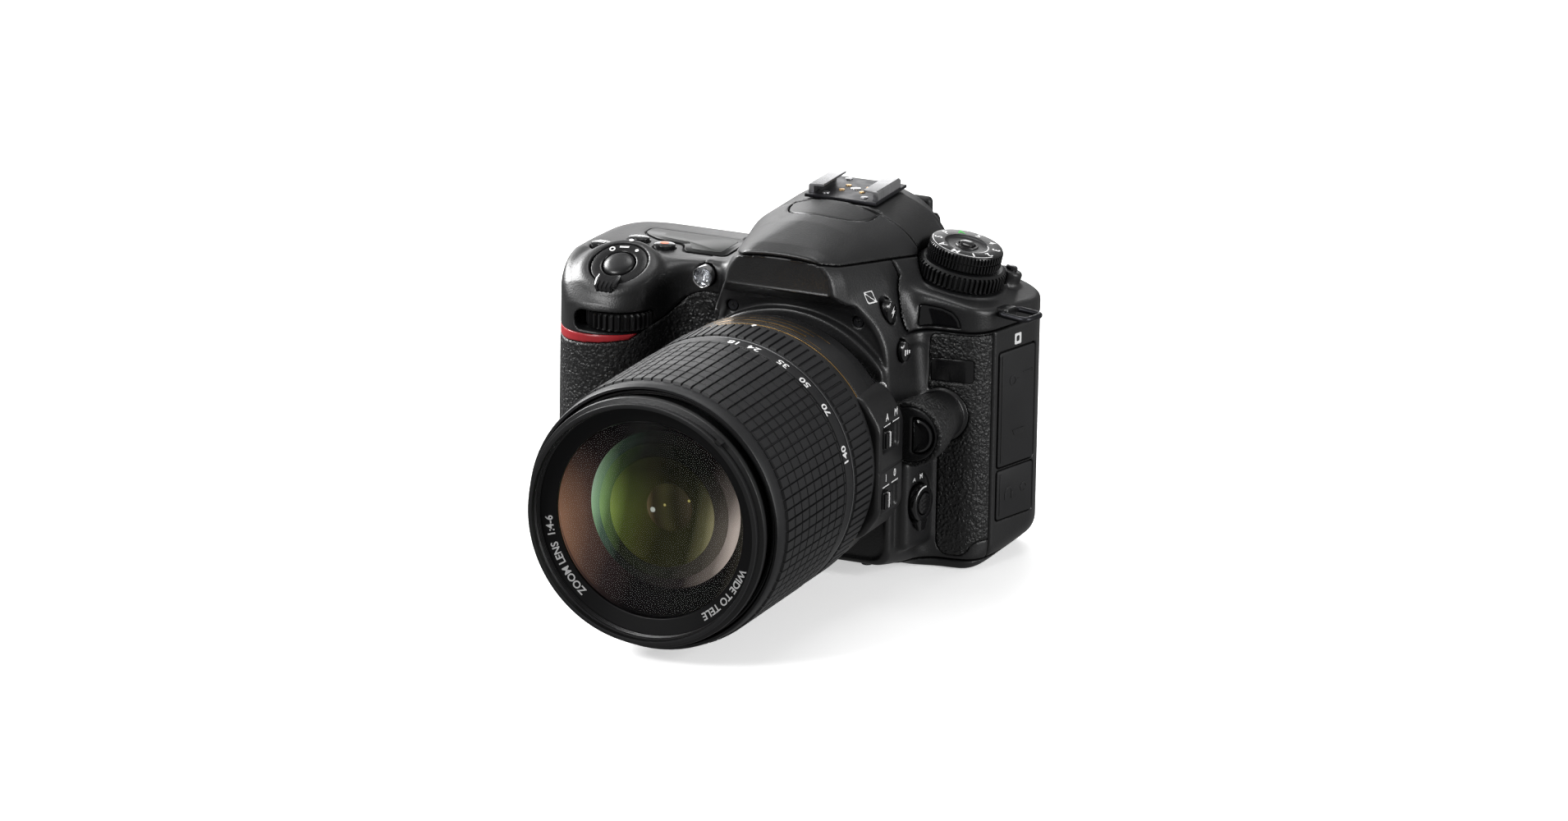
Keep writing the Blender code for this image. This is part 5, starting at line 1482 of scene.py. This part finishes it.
def build_strap_loop(name, anchor, heading):
    """A bent wire loop, with a small lug at the body."""
    frame_at = Matrix.Translation(Vector(anchor)) @ Matrix.Rotation(heading, 4, "Z")
    centre_line = rounded(rect(0.9, 10.5, -4.0, 4.0), 2.4, 6)
    radius = 0.85
    sides = 14
    points = []
    count = len(centre_line)
    for i, (x, y) in enumerate(centre_line):
        before, after = Vector(centre_line[i - 1]), Vector(centre_line[(i + 1) % count])
        way = (after - before).normalized()
        side = Vector((way.y, -way.x, 0))
        for k in range(sides):
            angle = math.tau * k / sides
            round_wire = side * math.cos(angle) + Vector((0, 0, math.sin(angle)))
            p = Vector((x, y, 0)) + round_wire * radius
            points.append(frame_at @ p)
    faces = []
    for i in range(count):
        j = (i + 1) % count
        for k in range(sides):
            m = (k + 1) % sides
            faces.append([i * sides + k, i * sides + m, j * sides + m, j * sides + k])
    mesh = repair_normals(points, faces)
    mesh.name = f"strap_wire_{name}"
    finish_piece(mesh.name, mesh, "camera_body", "dark", f"strap_loop_{name}")
    lug = rounded(rect(-1.6, 2.6, -2.6, 2.6), 0.9)
    plate(f"strap_lug_{name}", lug, frame_at, -1.3, 1.3, "camera_body", "satin", bevel=0.5)


# ================================================================ printed marks

def text_mesh(text, size):
    """Filled letters as flat points and faces about their middle."""
    curve = bpy.data.curves.new("letters", "FONT")
    curve.body = text
    curve.size = size
    curve.align_x = "CENTER"
    curve.align_y = "CENTER"
    curve.resolution_u = 3
    curve.offset = size * 0.02
    temp = bpy.data.objects.new("letters", curve)
    bpy.context.scene.collection.objects.link(temp)
    bpy.context.view_layer.update()
    evaluated = temp.evaluated_get(bpy.context.evaluated_depsgraph_get())
    mesh = bpy.data.meshes.new_from_object(evaluated)
    bpy.data.objects.remove(temp, do_unlink=True)
    points = [tuple(v.co) for v in mesh.vertices]
    faces = [list(p.vertices) for p in mesh.polygons]
    bpy.data.meshes.remove(mesh)
    return points, faces


def printed(name, points, faces, place, body, look="white"):
    """Ink: flat points carried onto a surface by place(x, y)."""
    add_piece(name, [place(x, y) for x, y, *_ in points], faces, body, look, sharp=0)


def written(name, text, size, place, body, look="white"):
    printed(name, *text_mesh(text, size), place, body, look)


def drawn(name, outline, place, body, look="white"):
    printed(name, [(x, y) for x, y in outline], [list(range(len(outline)))], place, body, look)


def flat_place(frame_at, x0=0.0, y0=0.0, level=0.0, turn=0.0):
    c, s = math.cos(turn), math.sin(turn)
    return lambda x, y: frame_at @ Vector((x0 + x * c - y * s, y0 + x * s + y * c, level))


def ring_place(angle, y0, radius):
    """Onto the lens: letters stand with their heads to the front and run on round the axis."""
    def place(x, y):
        turn = math.radians(angle) + x / radius
        return Vector((radius * math.cos(turn), y0 - y, AXIS_Z + radius * math.sin(turn)))
    return place


def face_place(angle, radius, y):
    """Onto the lens's name ring: letters run clockwise with their heads outwards."""
    def place(across, up):
        turn = math.radians(angle) - across / radius
        return Vector(((radius + up) * math.cos(turn), y - 0.19 * up,
            AXIS_Z + (radius + up) * math.sin(turn)))
    return place


def build_words():
    for name, text, angle in (("left", "ZOOM LENS  1:4-6", 208), ("right", "WIDE TO TELE", 322)):
        written(f"ring_words_{name}", text, 3.0, face_place(angle, 30.6, -138.5), "front_barrel", "words")
    skin_icon("exposure_icon", (24.0, -38.0, 82.4), 1.7, 1.7, "white", 0.4, 1.0)
    skin_icon("wireless_badge", (57.5, -6.0, 66.2), 1.5, 1.7, "white", 0.9, 0.0)
    for k, (mark, x) in enumerate((("A", -2.3), ("M", 1.6))):
        written(f"selector_letter_{k}", mark, 2.1, flat_place(SELECTOR, x, 7.3, -0.55), "camera_body")


def build_zoom_scale():
    for number, angle in (("18", 85.6), ("24", 76.6), ("35", 62.5), ("50", 50.5), ("70", 36.2),
            ("140", 15.5)):
        written(f"zoom_number_{number}", number, 3.8, ring_place(angle, -88.3, 38.92), "zoom_ring")
    drawn("zoom_index", oval(0.55, 0.55, 20), ring_place(89.5, -70.2, 38.5), "focus_ring")
    drawn("barrel_index", oval(0.6, 0.6, 20), ring_place(89.5, -68.5, 38.2), "camera_body")


def build_gold_lines():
    steps = 40
    radius = 38.2
    for k, (y, half, width) in enumerate(((-65.6, 31, 0.28), (-59.2, 31, 0.28), (-63.9, 22, 0.9),
            (-61.3, 24, 0.5))):
        points = []
        for i in range(steps + 1):
            turn = math.radians(90 + half - 2 * half * i / steps)
            for side in (-1, 1):
                points.append((radius * math.cos(turn), y + side * width / 2,
                    AXIS_Z + radius * math.sin(turn)))
        faces = [[2 * i, 2 * i + 1, 2 * i + 3, 2 * i + 2] for i in range(steps)]
        add_piece(f"gold_line_{k}", points, faces, "camera_body", "gold", sharp=0)


def build_switch_marks():
    side = basis((0, 0, 0), (1, 0, 0), (0, 0, 1))
    for name, z in SWITCH_HEIGHTS.items():
        for k, (y, mark) in enumerate(zip((-63.6, -57.4), "AM" if name == "focus" else "10")):
            written(f"{name}_letter_{k}", mark, 3.0, flat_place(side, y, z + 6.6, 39.6), "camera_body")
            bar = rect(-2.3, 2.3, -0.16, 0.16)
            drawn(f"{name}_bar_{k}", bar, flat_place(side, y, z + 4.3, 39.6), "camera_body")


def build_dial_marks():
    letters = "M12345APSA"
    automatic = 6
    for k, mark in enumerate(letters):
        spot = DIAL @ Matrix.Rotation(math.tau * k / len(letters), 4, "Z")
        written(f"dial_mark_{k}", mark, 3.2, flat_place(spot, 0, -8.35, 10.22, math.pi), "mode_dial",
            "green" if k == automatic else "white")
    drawn("dial_circle", ring_mark(6.35, 6.1, (0, 0), 250, 400, 40), flat_place(DIAL, 0, 0, 9.98),
        "mode_dial")
    drawn("dial_rim", ring_mark(10.2, 9.95, (0, 0), 190, 340, 60), flat_place(DIAL, 0, 0, 10.22),
        "mode_dial")


def build_collar_marks():
    bar = rect(-1.4, 1.4, -0.3, 0.3)
    marks = [(-28, oval(0.55, 0.55, 20)), (8, bar), (38, ring_mark(0.9, 0.5, (0, 0), 0, 350))]
    for k, (turn, outline) in enumerate(marks):
        spot = SHUTTER @ Matrix.Rotation(math.radians(turn), 4, "Z")
        drawn(f"collar_mark_{k}", outline, flat_place(spot, 0, 6.9, 0.42), "power_switch")
    drawn("collar_index", oval(0.75, 0.5, 24), flat_place(SHUTTER, 0, 9.9, 0.42), "camera_body")


def build_button_marks():
    top = basis((0, 0, BODY_TOP), (0, 0, 1), (0, 1, 0))
    x, y = TOP_BUTTONS["movie"]
    drawn("movie_dot", oval(1.35, 1.15, 28), flat_place(top, x, y, 0.88), "movie_button", "orange")
    x, y = TOP_BUTTONS["exposure"]
    drawn("exposure_square", ring_mark(1.7, 1.3, (0, 0), 45, 404.9, 4), flat_place(top, x, y, 0.86),
        "exposure_button")
    drawn("exposure_slash", [(-1.1, -0.9), (-0.8, -1.1), (1.1, 0.9), (0.8, 1.1)],
        flat_place(top, x, y, 0.86), "exposure_button")
    x, y = TOP_BUTTONS["iso"]
    for k in range(3):
        dot = [(a + (k - 1) * 1.3, b) for a, b in oval(0.42, 0.42, 16)]
        drawn(f"iso_dot_{k}", dot, flat_place(top, x, y, 0.86), "iso_button")

    cheek = basis(FLASH_BUTTON, CHEEK_AXIS)
    bolt = [(0.5, 1.9), (-0.8, -0.3), (-0.1, -0.3), (-0.5, -1.9), (0.8, 0.4), (0.1, 0.4)]
    drawn("bolt_mark", bolt, flat_place(cheek, 0, 0, 1.02), "flash_button")
    lower = basis(BRACKET_BUTTON, CHEEK_AXIS)
    for k in range(3):
        x = (k - 1) * 0.9
        half = 0.9 - 0.2 * k
        bar = rect(x - 0.25, x + 0.25, -half, half)
        drawn(f"bracket_bar_{k}", bar, flat_place(lower, 0, 0, 1.02), "bracket_button")


# ================================================================ the rest

INSIDE_LOOKS = {
    "mirror_box": "void", "focusing_screen": "clear", "pentaprism": "clear", "image_sensor": "screen",
    "shutter_unit": "dark", "main_board": "board", "battery": "satin", "aperture_unit": "void",
    "monitor_arm": "dark", "reflex_mirror": "mirror",
}


def dress_inner_nodes():
    """Inner CAD nodes stay and take the detailed looks of their slots."""
    for node, look in INSIDE_LOOKS.items():
        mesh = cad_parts[node].data
        for i in range(len(mesh.materials)):
            mesh.materials[i] = MAT[look]


def area_light(name, place, width, height, watts):
    """A panel lamp aimed at the camera; the place is in metres."""
    data = bpy.data.lights.new(name, "AREA")
    data.shape = "RECTANGLE"
    data.size = width
    data.size_y = height
    data.energy = watts
    lamp = bpy.data.objects.new(name, data)
    lamp.location = Vector(place)
    lamp.rotation_euler = (at(0, -60, 50) - Vector(place)).to_track_quat("-Z", "Y").to_euler()
    lamp.visible_camera = False
    bpy.context.scene.collection.objects.link(lamp)


def build_floor():
    size = 14.0
    mesh = bpy.data.meshes.new("floor")
    mesh.from_pydata([(-size, -size, 0), (size, -size, 0), (size, size, 0), (-size, size, 0)], [],
        [(0, 1, 2, 3)])
    n = Nodes("pale_floor")
    tone = n.noise(1.5, 2.0)
    base = n.ramp(tone, [(0.3, (0.80, 0.80, 0.80)), (0.8, (0.86, 0.86, 0.86))])
    n.link(base, n.shader.inputs["Emission Color"])
    mesh.materials.append(n.finish(0.6, 0.0, None, base, Emission_Strength=0.62))
    floor = bpy.data.objects.new("floor", mesh)
    floor.location.z = -0.0002
    floor.visible_glossy = False
    floor.visible_diffuse = False
    bpy.context.scene.collection.objects.link(floor)


def build_lights():
    world = bpy.data.worlds.new("studio")
    world.use_nodes = True
    background = world.node_tree.nodes["Background"]
    background.inputs["Color"].default_value = (1.0, 1.0, 1.0, 1.0)
    background.inputs["Strength"].default_value = 0.27
    bpy.context.scene.world = world
    area_light("back_panel", (-1.05, 1.75, 0.55), 1.5, 0.6, 9.0)
    area_light("key_light", (-1.40, 0.35, 0.95), 0.8, 0.7, 50.0)
    area_light("top_light", (0.05, 0.55, 1.45), 0.9, 0.4, 6.5)
    area_light("right_light", (1.55, -0.10, 0.50), 0.4, 1.0, 17.0)
    area_light("front_light", (-0.75, -1.45, 1.1), 0.5, 0.4, 24.0)


def build_camera():
    """The view through a long lens: from in front and above, and from the body's own left side."""
    data = bpy.data.cameras.new("photo_camera")
    data.lens = 225.1
    data.sensor_width = 36.0
    camera = bpy.data.objects.new("photo_camera", data)
    camera.location = at(1070.2, -2499.7, 868.9)
    camera.rotation_euler = (math.radians(72.944), math.radians(-0.979), math.radians(23.864))
    bpy.context.scene.collection.objects.link(camera)
    bpy.context.scene.camera = camera
    bpy.context.scene.view_settings.view_transform = "Standard"


build_covers()
build_barrel()
build_switch_panel()
build_focus_ring()
build_zoom_ring()
build_front_barrel()
build_lens_cells()
build_release()
build_dials()
build_top_buttons()
build_top_display()
build_command_wheels()
build_focus_lamp()
build_shoe()
build_front_buttons()
build_selector()
build_lens_switches()
build_front_screws()
build_rear()
build_doors()
build_card_door()
build_base()
build_strap_loop("right", (53.76, -12.5, 75.9), math.atan2(-0.27, 0.963))
build_strap_loop("left", (-73.9, 9.5, 72.9), math.radians(125))
build_words()
build_zoom_scale()
build_gold_lines()
build_switch_marks()
build_dial_marks()
build_collar_marks()
build_button_marks()
dress_inner_nodes()
build_floor()
build_lights()
build_camera()
